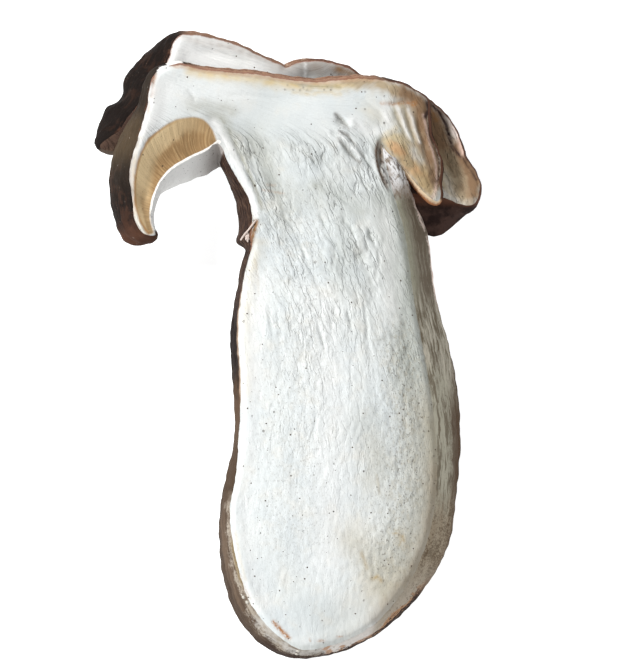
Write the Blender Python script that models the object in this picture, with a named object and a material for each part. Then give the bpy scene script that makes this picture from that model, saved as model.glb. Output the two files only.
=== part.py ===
"""A dried porcini mushroom, cut lengthwise and lying on its back cut face.

Two lofted slabs are joined into one solid. The front slab is the stem with the upper leaf of the
cap, and the rear slab is the lower leaf, which a second knife cut parted from the first. Each slab
has a front rim and a back rim, a skin wall between them, and two cut faces laid over thin-plate
surfaces. X runs across the stem, Y from the foot of the stem to the cap, and Z up from the table.
"""

import bmesh
import bpy
import numpy as np
from mathutils import Vector
from mathutils.geometry import delaunay_2d_cdt

MM = 0.001
# The middle of the drawn outline, which is moved onto the origin.
MIDDLE = (0.638, 0.678, 0.0)

RIM_SPACING = 1.3
FACE_SPACING = 1.3
TUBE_SPACING = 0.6
BACK_SPACING = 2.4
INSETS = (0.55, 1.25)
WALL_ROWS = 4
WALL_BULGE = 0.5
WALL_WAVE = 0.22

EDGE_ROUNDING = 0.22
LIP_HEIGHT = 0.16
WRINKLE_HEIGHT = 0.24
WRINKLE_WIDTH = 3.4
WRINKLE_LENGTH = 12.0
SWELL_HEIGHT = 0.3
FIBRE_LEAN = 0.011
TUBE_RECESS = 0.95
TUBE_RIB_HEIGHT = 0.15
TUBE_RIB_PITCH = 1.3
LOBE_TUBE_RECESS = 0.55
PLEAT_DEPTH = 0.34

# Each station is the front rim's x, y, z and then the back rim's x, y, z, in millimetres.
FOOT = [
    (2.8, -48.3, 6.8, 3.6, -49.6, 1.5),
    (-0.1, -47.2, 7.0, -0.7, -49.1, 1.5),
    (-3.5, -44.4, 7.3, -4.9, -46.4, 1.5),
    (-6.3, -40.6, 7.6, -8.1, -42.0, 1.3),
    (-8.0, -35.8, 7.8, -9.9, -35.9, 1.3),
    (-9.2, -30.0, 8.0, -10.4, -30.4, 1.3),
    (-9.4, -25.8, 8.0, -10.1, -25.4, 1.3),
]
STEM_LEFT = [
    (-8.5, -21.2, 8.0, -9.1, -20.4, 1.3),
    (-8.2, -16.4, 8.0, -8.2, -16.1, 1.3),
    (-7.9, -10.9, 8.0, -8.0, -10.3, 1.4),
    (-7.9, -5.4, 8.2, -8.4, -4.2, 1.5),
    (-8.3, -0.7, 8.3, -8.7, 0.5, 1.6),
    (-8.3, 3.6, 8.4, -8.4, 4.2, 1.6),
    (-7.8, 8.1, 8.5, -7.6, 9.3, 1.7),
    (-7.2, 11.6, 8.7, -7.2, 12.7, 1.8),
    (-6.3, 15.1, 8.9, -6.5, 15.5, 2.0),
    (-6.4, 17.0, 9.0, -8.0, 16.8, 2.4),
    (-6.2, 19.0, 9.0, -7.6, 19.4, 2.2),
    (-6.8, 22.5, 9.2, -8.1, 23.1, 2.5),
    (-8.2, 25.0, 9.4, -9.1, 25.8, 2.8),
    (-10.0, 28.0, 9.6, -10.1, 28.0, 3.2),
]
PORES_LEFT = [
    (-11.8, 31.4, 9.8, -11.0, 28.9, 3.4),
    (-13.9, 30.0, 10.0, -12.8, 27.7, 3.6),
    (-15.9, 28.9, 10.2, -14.8, 26.8, 3.8),
    (-18.0, 27.6, 10.5, -17.2, 25.7, 4.2),
    (-20.1, 25.9, 10.8, -19.5, 24.5, 4.8),
    (-21.5, 23.7, 11.0, -21.1, 23.2, 5.3),
    (-22.2, 21.5, 11.0, -21.9, 21.5, 5.8),
    (-22.5, 19.4, 10.8, -22.2, 19.8, 6.0),
    (-22.2, 17.6, 10.5, -22.1, 18.0, 6.0),
]
CAP_SKIN = [
    (-21.7, 16.3, 10.0, -21.9, 16.2, 6.0),
    (-23.2, 16.3, 10.2, -23.8, 15.3, 5.5),
    (-24.4, 17.3, 10.6, -26.1, 15.8, 5.2),
    (-25.2, 19.0, 11.0, -27.4, 18.0, 5.2),
    (-25.4, 21.0, 11.5, -28.3, 21.0, 5.6),
    (-25.8, 22.9, 12.0, -28.8, 23.6, 6.1),
    (-26.1, 24.9, 12.3, -28.9, 26.2, 6.5),
    (-25.9, 27.1, 12.4, -28.6, 28.6, 6.8),
    (-25.3, 29.4, 12.3, -27.9, 31.0, 6.9),
    (-24.6, 31.8, 12.2, -26.8, 33.5, 6.9),
    (-23.9, 34.5, 12.0, -25.2, 36.2, 7.0),
    (-23.3, 37.0, 11.8, -24.2, 38.6, 7.1),
    (-23.0, 39.5, 11.6, -23.5, 40.8, 7.2),
    (-22.0, 42.1, 11.4, -22.3, 43.0, 7.3),
    (-18.5, 43.8, 11.2, -18.8, 44.3, 7.5),
    (-15.2, 43.3, 11.0, -15.4, 43.8, 7.5),
    (-11.0, 43.0, 11.0, -11.3, 43.5, 7.5),
    (-5.6, 42.8, 11.0, -5.7, 43.3, 7.4),
    (-0.5, 42.2, 10.8, -0.6, 42.9, 7.2),
    (4.0, 42.1, 10.6, 4.0, 42.6, 7.0),
    (8.4, 42.7, 10.5, 8.5, 43.2, 6.9),
    (11.9, 43.0, 10.4, 12.0, 43.6, 6.8),
    (16.7, 42.5, 10.2, 16.8, 43.0, 6.6),
    (20.1, 41.4, 9.8, 20.2, 41.8, 6.4),
    (22.2, 39.9, 9.3, 22.4, 40.2, 6.2),
    (22.5, 37.2, 8.8, 22.9, 37.5, 5.9),
    (22.9, 34.3, 8.4, 23.3, 34.6, 5.6),
    (24.0, 32.1, 8.2, 24.4, 32.3, 5.3),
    (24.7, 29.8, 8.0, 25.0, 30.0, 5.1),
    (24.5, 27.1, 7.8, 24.9, 27.2, 4.9),
    (24.8, 24.9, 7.4, 24.8, 24.9, 4.7),
]
PORES_RIGHT = [
    (24.2, 23.7, 7.2, 24.2, 24.0, 4.6),
    (22.4, 24.5, 7.8, 22.6, 24.7, 4.4),
    (20.1, 26.7, 8.4, 20.6, 27.0, 4.3),
    (18.0, 28.9, 9.0, 18.5, 29.2, 4.4),
    (15.9, 30.8, 9.6, 16.7, 31.3, 4.8),
]
STEM_RIGHT = [
    (14.7, 32.7, 9.7, 15.5, 32.2, 5.2),
    (15.1, 30.2, 9.4, 16.3, 29.8, 4.6),
    (15.8, 27.3, 9.2, 18.6, 27.0, 3.6),
    (16.9, 23.8, 9.0, 21.0, 24.0, 2.8),
    (18.2, 19.8, 8.8, 23.0, 20.6, 2.4),
    (19.0, 16.0, 8.7, 24.0, 16.6, 2.2),
    (19.6, 11.2, 8.6, 24.4, 12.2, 2.0),
    (20.3, 6.4, 8.5, 25.2, 7.4, 1.9),
    (21.4, 0.7, 8.4, 26.9, 1.6, 1.8),
    (22.4, -4.9, 8.3, 28.2, -4.2, 1.7),
    (23.3, -11.3, 8.2, 28.8, -10.6, 1.6),
    (23.8, -17.6, 8.1, 28.8, -17.1, 1.5),
    (23.6, -24.0, 8.0, 28.2, -23.8, 1.5),
    (22.5, -30.3, 7.8, 27.0, -30.6, 1.5),
    (20.2, -36.1, 7.6, 24.5, -36.2, 1.5),
    (17.2, -40.5, 7.4, 20.8, -41.1, 1.5),
    (13.2, -44.6, 7.2, 16.0, -45.3, 1.5),
    (8.1, -47.2, 7.0, 10.5, -48.2, 1.5),
]
FRONT_RIM = FOOT + STEM_LEFT + PORES_LEFT + CAP_SKIN + PORES_RIGHT + STEM_RIGHT

REAR_RIM = [
    (-30.3, 31.7, 4.2, -30.7, 32.5, 1.6),
    (-28.8, 32.9, 5.0, -30.7, 34.6, 1.3),
    (-27.2, 34.0, 5.3, -30.0, 36.8, 1.1),
    (-26.1, 36.0, 5.4, -29.1, 38.6, 1.1),
    (-24.3, 38.3, 5.5, -26.9, 40.2, 1.2),
    (-22.7, 41.8, 5.8, -26.4, 43.2, 1.4),
    (-20.5, 44.0, 6.0, -25.3, 45.1, 1.6),
    (-19.5, 46.1, 6.2, -23.4, 47.3, 1.7),
    (-18.9, 48.4, 6.4, -20.7, 49.8, 2.0),
    (-17.3, 49.9, 6.4, -18.1, 50.8, 2.4),
    (-13.3, 49.7, 6.4, -13.5, 50.4, 2.6),
    (-8.7, 48.7, 6.3, -8.9, 49.4, 2.6),
    (-4.8, 47.0, 6.1, -5.0, 47.5, 2.6),
    (-1.6, 45.8, 6.0, -1.8, 46.3, 2.5),
    (-0.4, 45.4, 5.9, -0.6, 46.0, 2.4),
    (0.7, 45.9, 6.0, 0.5, 46.5, 2.4),
    (3.1, 46.5, 6.2, 3.0, 47.1, 2.4),
    (6.4, 46.4, 6.2, 6.4, 46.9, 2.4),
    (9.7, 45.7, 6.0, 9.7, 46.2, 2.4),
    (12.3, 44.2, 5.8, 12.2, 44.8, 2.4),
    (16.0, 42.9, 5.6, 15.9, 43.3, 2.2),
    (19.8, 41.9, 5.5, 19.8, 42.3, 2.2),
    (23.1, 40.9, 5.5, 23.2, 41.4, 2.2),
    (25.8, 38.8, 5.6, 25.9, 39.1, 2.2),
    (27.7, 36.1, 5.7, 27.9, 36.5, 2.2),
    (28.9, 33.0, 5.7, 29.1, 33.3, 2.0),
    (29.4, 31.4, 5.7, 29.6, 31.8, 2.0),
    (31.0, 29.0, 5.8, 31.2, 29.4, 1.8),
    (31.7, 26.6, 5.8, 32.0, 26.9, 1.8),
    (31.0, 24.0, 5.2, 31.5, 24.0, 1.8),
    (28.7, 23.8, 4.8, 30.0, 22.5, 1.5),
    (26.4, 24.7, 4.8, 28.0, 20.6, 1.2),
    (23.6, 25.0, 4.6, 26.0, 19.2, 1.0),
    (21.1, 25.4, 4.6, 23.6, 19.2, 1.4),
    (18.6, 24.8, 5.4, 20.0, 21.2, 4.0),
    (13.0, 24.0, 5.8, 14.0, 22.4, 4.6),
    (5.3, 23.4, 6.0, 5.6, 22.0, 4.8),
    (-2.0, 24.6, 6.0, -1.6, 23.6, 4.6),
    (-6.8, 27.6, 6.0, -5.8, 27.0, 4.4),
    (-10.4, 30.6, 5.6, -9.6, 30.0, 3.4),
    (-14.3, 31.8, 5.0, -14.0, 31.2, 2.2),
    (-19.1, 31.6, 4.6, -18.8, 31.0, 1.6),
    (-23.9, 31.2, 4.4, -23.7, 30.8, 1.5),
    (-27.6, 30.9, 4.0, -27.4, 31.0, 1.6),
    (-29.3, 30.9, 4.0, -29.3, 31.3, 1.6),
]

# Heights that the cut faces pass through between the rims: x, y, z in millimetres.
FRONT_FACE = [
    (5.0, -38.0, 8.3), (15.0, -28.0, 8.6), (6.0, -25.0, 8.9), (-3.0, -20.0, 8.8),
    (16.0, -10.0, 8.9), (7.0, -10.0, 9.2), (-3.0, 0.0, 9.0), (6.0, 5.0, 9.4),
    (14.0, 10.0, 9.2), (4.0, 18.0, 9.6), (0.0, 28.0, 9.9), (-7.0, 34.5, 9.7),
    (-12.0, 38.0, 10.5), (4.0, 36.0, 10.8), (14.0, 38.0, 10.3), (-17.0, 33.0, 10.5),
    (-22.0, 28.0, 10.9), (-23.8, 22.0, 10.8), (19.5, 35.5, 9.3), (21.5, 29.5, 8.6),
]
FRONT_SLAB_BACK = [
    (6.0, -32.0, -0.5), (6.0, -22.0, -0.1), (6.0, -8.0, 0.7), (6.0, 6.0, 1.0),
    (6.0, 17.0, 1.4), (2.0, 26.0, 4.0), (10.0, 25.0, 4.0), (0.0, 32.0, 5.0),
    (-12.0, 35.5, 6.0), (-18.0, 38.5, 7.0), (-22.5, 29.0, 7.0), (-25.0, 22.0, 6.4),
    (6.0, 38.0, 6.0), (14.0, 37.0, 5.6), (20.0, 34.0, 5.5), (-6.0, 38.5, 6.4),
]
REAR_FACE = [
    (-12.0, 45.0, 5.3), (-4.0, 42.0, 4.6), (6.0, 42.0, 4.6), (-20.0, 38.0, 4.7),
    (-25.0, 33.5, 4.3), (14.0, 39.0, 4.5), (24.0, 34.5, 4.3), (27.0, 31.0, 3.9),
    (28.3, 27.3, 4.1), (-10.0, 35.0, 5.0), (5.0, 31.0, 5.2),
]
REAR_SLAB_BACK = [
    (-20.0, 38.0, -0.4), (-24.0, 34.0, 0.3), (-9.0, 41.0, 0.6), (5.0, 40.0, 0.9),
    (16.0, 37.0, 0.5), (22.5, 31.5, -0.4), (26.5, 27.0, 0.3), (3.0, 30.0, 1.2),
    (-5.0, 32.0, 1.4), (12.0, 29.0, 1.2),
]

# The tan tube layer of the cap's left half, as the edge along the flesh and the edge along the pores.
TUBES_BY_FLESH = [
    (-11.9, 32.0), (-12.2, 33.6), (-13.1, 34.7), (-14.6, 35.2), (-16.3, 35.1), (-18.2, 34.6),
    (-19.8, 33.6), (-21.3, 32.2), (-22.6, 30.8), (-23.5, 28.6), (-24.2, 26.6), (-24.7, 24.2),
    (-24.8, 22.0), (-24.6, 19.8), (-23.6, 17.6), (-22.9, 16.5),
]
TUBES_BY_PORES = [
    (-11.8, 31.6), (-12.4, 30.9), (-13.9, 30.1), (-15.9, 29.0), (-18.0, 27.7), (-20.1, 26.0),
    (-21.5, 23.8), (-22.2, 21.6), (-22.5, 19.5), (-22.3, 17.8), (-21.8, 16.5),
]

# The tubes of the right half show as a slanting field along the edge that faces the stem.
LOBE_TUBES = [
    (15.4, 33.4), (17.0, 34.2), (19.4, 32.4), (21.4, 29.8), (22.6, 26.8), (23.2, 24.6),
    (22.4, 24.5), (20.1, 26.7), (18.0, 28.9), (15.9, 30.8),
]
# Creases in the front cut face: depth and half width, then the line that they follow.
CREASES = [
    (1.0, 0.8, [(13.9, 33.2), (13.9, 30.6), (14.4, 27.8), (15.6, 24.6)]),
    (0.5, 0.8, [(6.6, 34.6), (9.3, 33.6), (12.0, 30.6), (13.0, 28.4)]),
    (0.4, 0.7, [(7.6, 38.0), (9.8, 36.8), (11.4, 34.4)]),
    (0.9, 2.0, [(-11.0, 36.2), (-7.2, 33.0), (-4.4, 28.5), (-3.0, 23.0), (-2.4, 19.0)]),
    (0.4, 0.6, [(14.8, 39.2), (18.0, 39.4), (20.5, 39.4)]),
]
# Pleats of the cap's right half run from its top edge and gather at the lobe's tip.
PLEATS = [
    [(13.8, 38.4), (17.2, 35.0), (19.8, 32.0), (21.8, 29.2)],
    [(16.2, 38.8), (18.6, 35.8), (20.6, 32.6), (22.4, 28.8)],
    [(18.4, 39.0), (20.0, 35.8), (21.4, 32.6), (23.0, 28.4)],
    [(20.4, 39.0), (21.2, 35.4), (22.2, 32.0), (23.6, 28.0)],
]
# The fold in the lower leaf, just inside the right part of its rim.
REAR_CREASES = [
    (0.8, 0.6, [(23.0, 40.0), (25.0, 37.6), (26.2, 34.8), (26.8, 32.4), (29.2, 30.4)]),
    (0.3, 1.2, [(3.4, 45.8), (3.2, 43.5), (3.4, 41.0)]),
]


def closed_curve(stations, spacing):
    """Stations joined by a smooth closed curve, as points about the spacing apart."""
    p = np.array(stations, float)
    before, after, later = np.roll(p, 1, 0), np.roll(p, -1, 0), np.roll(p, -2, 0)
    stretches = []
    for a, b, c, d in zip(before, p, after, later, strict=True):
        steps = max(1, round(np.linalg.norm((c - b)[:2]) / spacing))
        t = np.arange(steps)[:, None] / steps
        bend = (2 * a - 5 * b + 4 * c - d) * t**2 + (3 * b - a - 3 * c + d) * t**3
        stretches.append(0.5 * (2 * b + (c - a) * t + bend))
    return np.concatenate(stretches)


def thin_plate(points):
    """The smooth surface through (x, y, z) points, as a function of an array of (x, y)."""
    p = np.array(points, float)
    n = len(p)

    def pull(a, b):
        r2 = ((a[:, None, :] - b[None, :, :]) ** 2).sum(-1)
        return r2 * np.log(r2 + 1e-9)

    system = np.zeros((n + 3, n + 3))
    system[:n, :n] = pull(p[:, :2], p[:, :2]) + np.eye(n) * 0.5
    system[:n, n] = system[n, :n] = 1
    system[:n, n + 1 :] = p[:, :2]
    system[n + 1 :, :n] = p[:, :2].T
    weights = np.linalg.solve(system, np.append(p[:, 2], [0, 0, 0]))

    def height(xy):
        return pull(xy, p[:, :2]) @ weights[:n] + weights[n] + xy @ weights[n + 1 :]

    return height


def line_distance(xy, line, closed=False):
    """The distance from each point to a line of points."""
    a = np.array(line, float)
    b = np.roll(a, -1, 0)
    if not closed:
        a, b = a[:-1], b[:-1]
    nearest = np.full(len(xy), 1e9)
    for start, end in zip(a, b, strict=True):
        along = end - start
        t = np.clip((xy - start) @ along / (along @ along + 1e-12), 0, 1)
        nearest = np.minimum(nearest, np.linalg.norm(xy - start - t[:, None] * along, axis=1))
    return nearest


def inside(xy, outline):
    """Which points lie inside a closed outline, by counting its crossings."""
    a = np.array(outline, float)
    odd = np.zeros(len(xy), bool)
    for (x0, y0), (x1, y1) in zip(a, np.roll(a, -1, 0), strict=True):
        spans = (y0 > xy[:, 1]) != (y1 > xy[:, 1])
        crossing = x0 + (x1 - x0) * (xy[:, 1] - y0) / (y1 - y0 + 1e-12)
        odd ^= spans & (xy[:, 0] < crossing)
    return odd


def smooth(low, high, x):
    """0 below low, 1 above high, and an even ease between."""
    t = np.clip((x - low) / (high - low), 0, 1)
    return t * t * (3 - 2 * t)


def noise(xy, seed):
    """Soft random hills one unit apart, from -1 to 1."""
    cell = np.floor(xy).astype(np.int64)
    part = xy - cell
    ease = part * part * (3 - 2 * part)

    def corner(dx, dy):
        key = (cell[:, 0] + dx) * 374761393 + (cell[:, 1] + dy) * 668265263 + seed * 2147483647
        key = (key ^ (key >> 13)) * 1274126177 & 0xFFFFFFFF
        return (key ^ (key >> 16)) % 65536 / 32768 - 1

    low = corner(0, 0) * (1 - ease[:, 0]) + corner(1, 0) * ease[:, 0]
    high = corner(0, 1) * (1 - ease[:, 0]) + corner(1, 1) * ease[:, 0]
    return low * (1 - ease[:, 1]) + high * ease[:, 1]


def fibres(xy):
    """The place across and along the fibres, which rise up the stem and lean left in the cap."""
    across = xy[:, 0] + FIBRE_LEAN * np.maximum(xy[:, 1] + 15, 0) ** 2
    return across, xy[:, 1]


def groove(distance, half_width):
    return np.exp(-((distance / half_width) ** 2))


def tube_outline():
    return TUBES_BY_FLESH + TUBES_BY_PORES[::-1]


def tube_run():
    """The place along the tube layer, in millimetres from the stem, the same across its width."""
    known = []
    for edge in (TUBES_BY_FLESH, TUBES_BY_PORES):
        p = np.array(edge)
        steps = np.linalg.norm(np.diff(p, axis=0), axis=1)
        share = np.append(0, np.cumsum(steps)) / steps.sum()
        known += [(x, y, 24.0 * s) for (x, y), s in zip(p, share, strict=True)]
    return thin_plate(known)


def edge_profile(from_rim):
    """The knife's edge, rounded off at the rim with a low lip behind it."""
    lip = smooth(0.2, 1.0, from_rim) * (1 - smooth(1.2, 3.0, from_rim))
    return LIP_HEIGHT * lip - EDGE_ROUNDING * (1 - smooth(0, 0.8, from_rim))


def depth_inside(xy, outline):
    return line_distance(xy, outline, closed=True) * np.where(inside(xy, outline), 1, -1)


def front_relief(xy, rim):
    """What the upper cut face adds to its smooth height: wrinkles, creases, tubes and pleats."""
    across, along = fibres(xy)
    from_rim = line_distance(xy, rim, closed=True)
    strength = smooth(0.3, 2.5, from_rim) * (0.45 + 0.55 * smooth(-30, 15, xy[:, 1]))
    places = np.column_stack([across / WRINKLE_WIDTH, along / WRINKLE_LENGTH])
    wrinkle = 1 - 2 * np.abs(noise(places, 3))
    z = strength * WRINKLE_HEIGHT * wrinkle
    z += smooth(0, 2, from_rim) * SWELL_HEIGHT * noise(xy / 11, 5)
    for depth, half_width, line in CREASES:
        z -= depth * groove(line_distance(xy, line), half_width)
    for line in PLEATS:
        z -= PLEAT_DEPTH * groove(line_distance(xy, line), 0.5)
    z += edge_profile(from_rim)
    z -= LOBE_TUBE_RECESS * smooth(-0.4, 0.6, depth_inside(xy, LOBE_TUBES))
    ribs = TUBE_RIB_HEIGHT * np.cos(2 * np.pi * tube_run()(xy) / TUBE_RIB_PITCH)
    in_tubes = smooth(-0.3, 0.7, depth_inside(xy, tube_outline()))
    by_pores = groove(line_distance(xy, TUBES_BY_PORES), 1.1)
    by_flesh = smooth(0, 3.5, line_distance(xy, TUBES_BY_FLESH))
    sunk = -TUBE_RECESS * (1 - 0.45 * by_flesh) * (1 - by_pores) + ribs
    return z * (1 - in_tubes) + in_tubes * (sunk - EDGE_ROUNDING * by_pores)


def rear_relief(xy, rim):
    """The lower leaf's face: soft swells, the fold by its right rim, and a lip all round."""
    from_rim = line_distance(xy, rim, closed=True)
    z = smooth(0, 2, from_rim) * SWELL_HEIGHT * noise(xy / 8 + 40, 7)
    for depth, half_width, line in REAR_CREASES:
        z -= depth * groove(line_distance(xy, line), half_width)
    return z + edge_profile(from_rim)


def back_relief(xy, rim):
    return 0.15 * smooth(0, 3, line_distance(xy, rim, closed=True)) * noise(xy / 9 + 80, 11)


def lattice(low, high, step):
    """Points in even staggered rows over a rectangle."""
    rows = np.arange(low[1], high[1], step * 0.866)
    x, y = np.meshgrid(np.arange(low[0], high[0], step), rows)
    x = x + (np.arange(len(rows)) % 2)[:, None] * step / 2
    return np.column_stack([x.ravel(), y.ravel()])


def inset_ring(rim, distance):
    """Points a set distance inside a clockwise rim, left out where the rim turns back on itself."""
    run = np.roll(rim, -1, 0) - np.roll(rim, 1, 0)
    inward = np.column_stack([run[:, 1], -run[:, 0]]) / np.linalg.norm(run, axis=1)[:, None]
    ring = rim + inward * distance
    ring = ring[line_distance(ring, rim, closed=True) > distance * 0.9]
    kept = [ring[0]]
    for point in ring[1:]:
        if np.linalg.norm(point - kept[-1]) > RIM_SPACING * 0.5:
            kept.append(point)
    return np.array(kept)


def filling(rim, spacing, fine_zone):
    """Points that fill a rim: rings just inside it, even rows, and close rows in the fine zone."""
    low, high = rim.min(0), rim.max(0)
    points = lattice(low, high, spacing)
    if spacing < BACK_SPACING:
        points = points[line_distance(points, rim, closed=True) > INSETS[-1] + spacing * 0.45]
        points = np.concatenate([inset_ring(rim, d) for d in INSETS] + [points])
    else:
        points = points[line_distance(points, rim, closed=True) > spacing * 0.4]
    points = points[inside(points, rim)]
    if fine_zone is None:
        return points
    fine = lattice(low, high, TUBE_SPACING)
    fine = fine[inside(fine, fine_zone) & inside(fine, rim)]
    fine = fine[line_distance(fine, rim, closed=True) > TUBE_SPACING * 0.6]
    points = points[~inside(points, fine_zone)]
    return np.concatenate([points, fine])


def cut_face(rim, spacing, height, relief, fine_zone=None):
    """The points inside a rim with their heights, and the triangles that fill it."""
    inner = filling(rim[:, :2], spacing, fine_zone)
    flat = np.concatenate([rim[:, :2], inner])
    count = len(rim)
    edges = [(i, (i + 1) % count) for i in range(count)]
    made = delaunay_2d_cdt([Vector(p) for p in flat], edges, [], 1, 1e-7)
    if len(made[0]) != len(flat):
        raise ValueError("the rim crosses itself")
    given = np.array([sources[0] for sources in made[3]])
    z = height(inner) + relief(inner, rim[:, :2])
    return np.column_stack([inner, z]), given[np.array(made[2])]


def wall_rings(front, back):
    """Rings of points from the front rim to the back rim, bulging outwards and gently waved."""
    run = np.roll(front, -1, 0) - np.roll(front, 1, 0)
    out = np.column_stack([-run[:, 1], run[:, 0], np.zeros(len(run))])
    out /= np.linalg.norm(out, axis=1)[:, None]
    rings = [front]
    for k in range(1, WALL_ROWS):
        t = k / WALL_ROWS
        place = front + (back - front) * t
        wave = WALL_WAVE * noise(place[:, :2] / 2.6 + 7 * k, 17)
        rings.append(place + out * ((WALL_BULGE + wave) * np.sin(np.pi * t))[:, None])
    return [*rings, back]


def slab(name, stations, face, back_face, face_relief, fine_zone=None):
    """A closed slab: a front cut face, a wall of skin and a back cut face."""
    loop = closed_curve(stations, RIM_SPACING)
    front, back = loop[:, :3].copy(), loop[:, 3:]
    front[:, 2] -= EDGE_ROUNDING
    front_height = thin_plate([s[:3] for s in stations] + face)
    back_height = thin_plate([s[3:] for s in stations] + back_face)
    top, top_faces = cut_face(front, FACE_SPACING, front_height, face_relief, fine_zone)
    bottom, bottom_faces = cut_face(back, BACK_SPACING, back_height, back_relief)
    bottom[:, 2] = np.maximum(bottom[:, 2], 0)
    rings = wall_rings(front, back)
    points = np.concatenate([*rings, top, bottom]) - MIDDLE

    count = len(loop)
    around = np.arange(count)
    after_rings = count * len(rings)
    top_index = np.append(around, after_rings + np.arange(len(top)))
    last_ring = count * (len(rings) - 1) + around
    bottom_index = np.append(last_ring, after_rings + len(top) + np.arange(len(bottom)))
    bm = bmesh.new()
    verts = [bm.verts.new(p * MM) for p in points]
    for corners in top_index[top_faces]:
        bm.faces.new([verts[i] for i in corners])
    for corners in bottom_index[bottom_faces]:
        bm.faces.new([verts[i] for i in corners[::-1]])
    for ring in range(len(rings) - 1):
        for i in range(count):
            j = (i + 1) % count
            a, b = ring * count, (ring + 1) * count
            bm.faces.new([verts[a + i], verts[b + i], verts[b + j], verts[a + j]])
    bmesh.ops.triangulate(bm, faces=bm.faces)
    bmesh.ops.recalc_face_normals(bm, faces=bm.faces)
    mesh = bpy.data.meshes.new(name)
    bm.to_mesh(mesh)
    bm.free()
    return bpy.data.objects.new(name, mesh)


def dried_flesh():
    material = bpy.data.materials.new("dried_flesh")
    material.use_nodes = True
    shader = material.node_tree.nodes["Principled BSDF"]
    shader.inputs["Base Color"].default_value = (0.78, 0.76, 0.69, 1)
    shader.inputs["Roughness"].default_value = 0.85
    shader.inputs["Metallic"].default_value = 0
    return material


def build():
    for obj in list(bpy.data.objects):
        bpy.data.objects.remove(obj)
    parts = bpy.data.collections.new("dried_porcini")
    helpers = bpy.data.collections.new("joined_slabs")
    bpy.context.scene.collection.children.link(parts)
    bpy.context.scene.collection.children.link(helpers)

    tubes = np.array(tube_outline())
    mushroom = slab("mushroom", FRONT_RIM, FRONT_FACE, FRONT_SLAB_BACK, front_relief, tubes)
    parts.objects.link(mushroom)
    lower_leaf = slab("lower_leaf", REAR_RIM, REAR_FACE, REAR_SLAB_BACK, rear_relief)
    helpers.objects.link(lower_leaf)
    lower_leaf.hide_render = True
    lower_leaf.display_type = "WIRE"

    joined = mushroom.modifiers.new("lower_leaf", "BOOLEAN")
    joined.operation = "UNION"
    joined.object = lower_leaf
    mushroom.data.materials.append(dried_flesh())
    mushroom.data.shade_smooth()


build()
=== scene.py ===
import math
import bmesh
import bpy
import numpy as np
from mathutils import Matrix, Vector
from mathutils.geometry import delaunay_2d_cdt
from mathutils.kdtree import KDTree


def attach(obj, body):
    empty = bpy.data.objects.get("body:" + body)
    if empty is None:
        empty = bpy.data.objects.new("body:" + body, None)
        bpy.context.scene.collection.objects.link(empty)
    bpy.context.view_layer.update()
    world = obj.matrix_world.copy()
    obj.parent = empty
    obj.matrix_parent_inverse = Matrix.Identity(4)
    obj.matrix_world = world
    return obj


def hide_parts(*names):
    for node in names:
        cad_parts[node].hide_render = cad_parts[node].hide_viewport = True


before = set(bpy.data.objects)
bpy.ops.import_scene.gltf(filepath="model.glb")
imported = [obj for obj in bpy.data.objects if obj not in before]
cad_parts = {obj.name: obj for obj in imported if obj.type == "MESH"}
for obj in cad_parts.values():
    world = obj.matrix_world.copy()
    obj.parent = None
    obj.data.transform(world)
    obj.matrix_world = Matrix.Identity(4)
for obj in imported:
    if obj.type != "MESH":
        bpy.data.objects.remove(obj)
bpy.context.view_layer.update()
print("frame loaded")

mm = 0.001
middle = np.array([0.638, 0.678, 0])  # the middle of the drawn outline, moved onto the origin
farAway = 1e9

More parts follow.
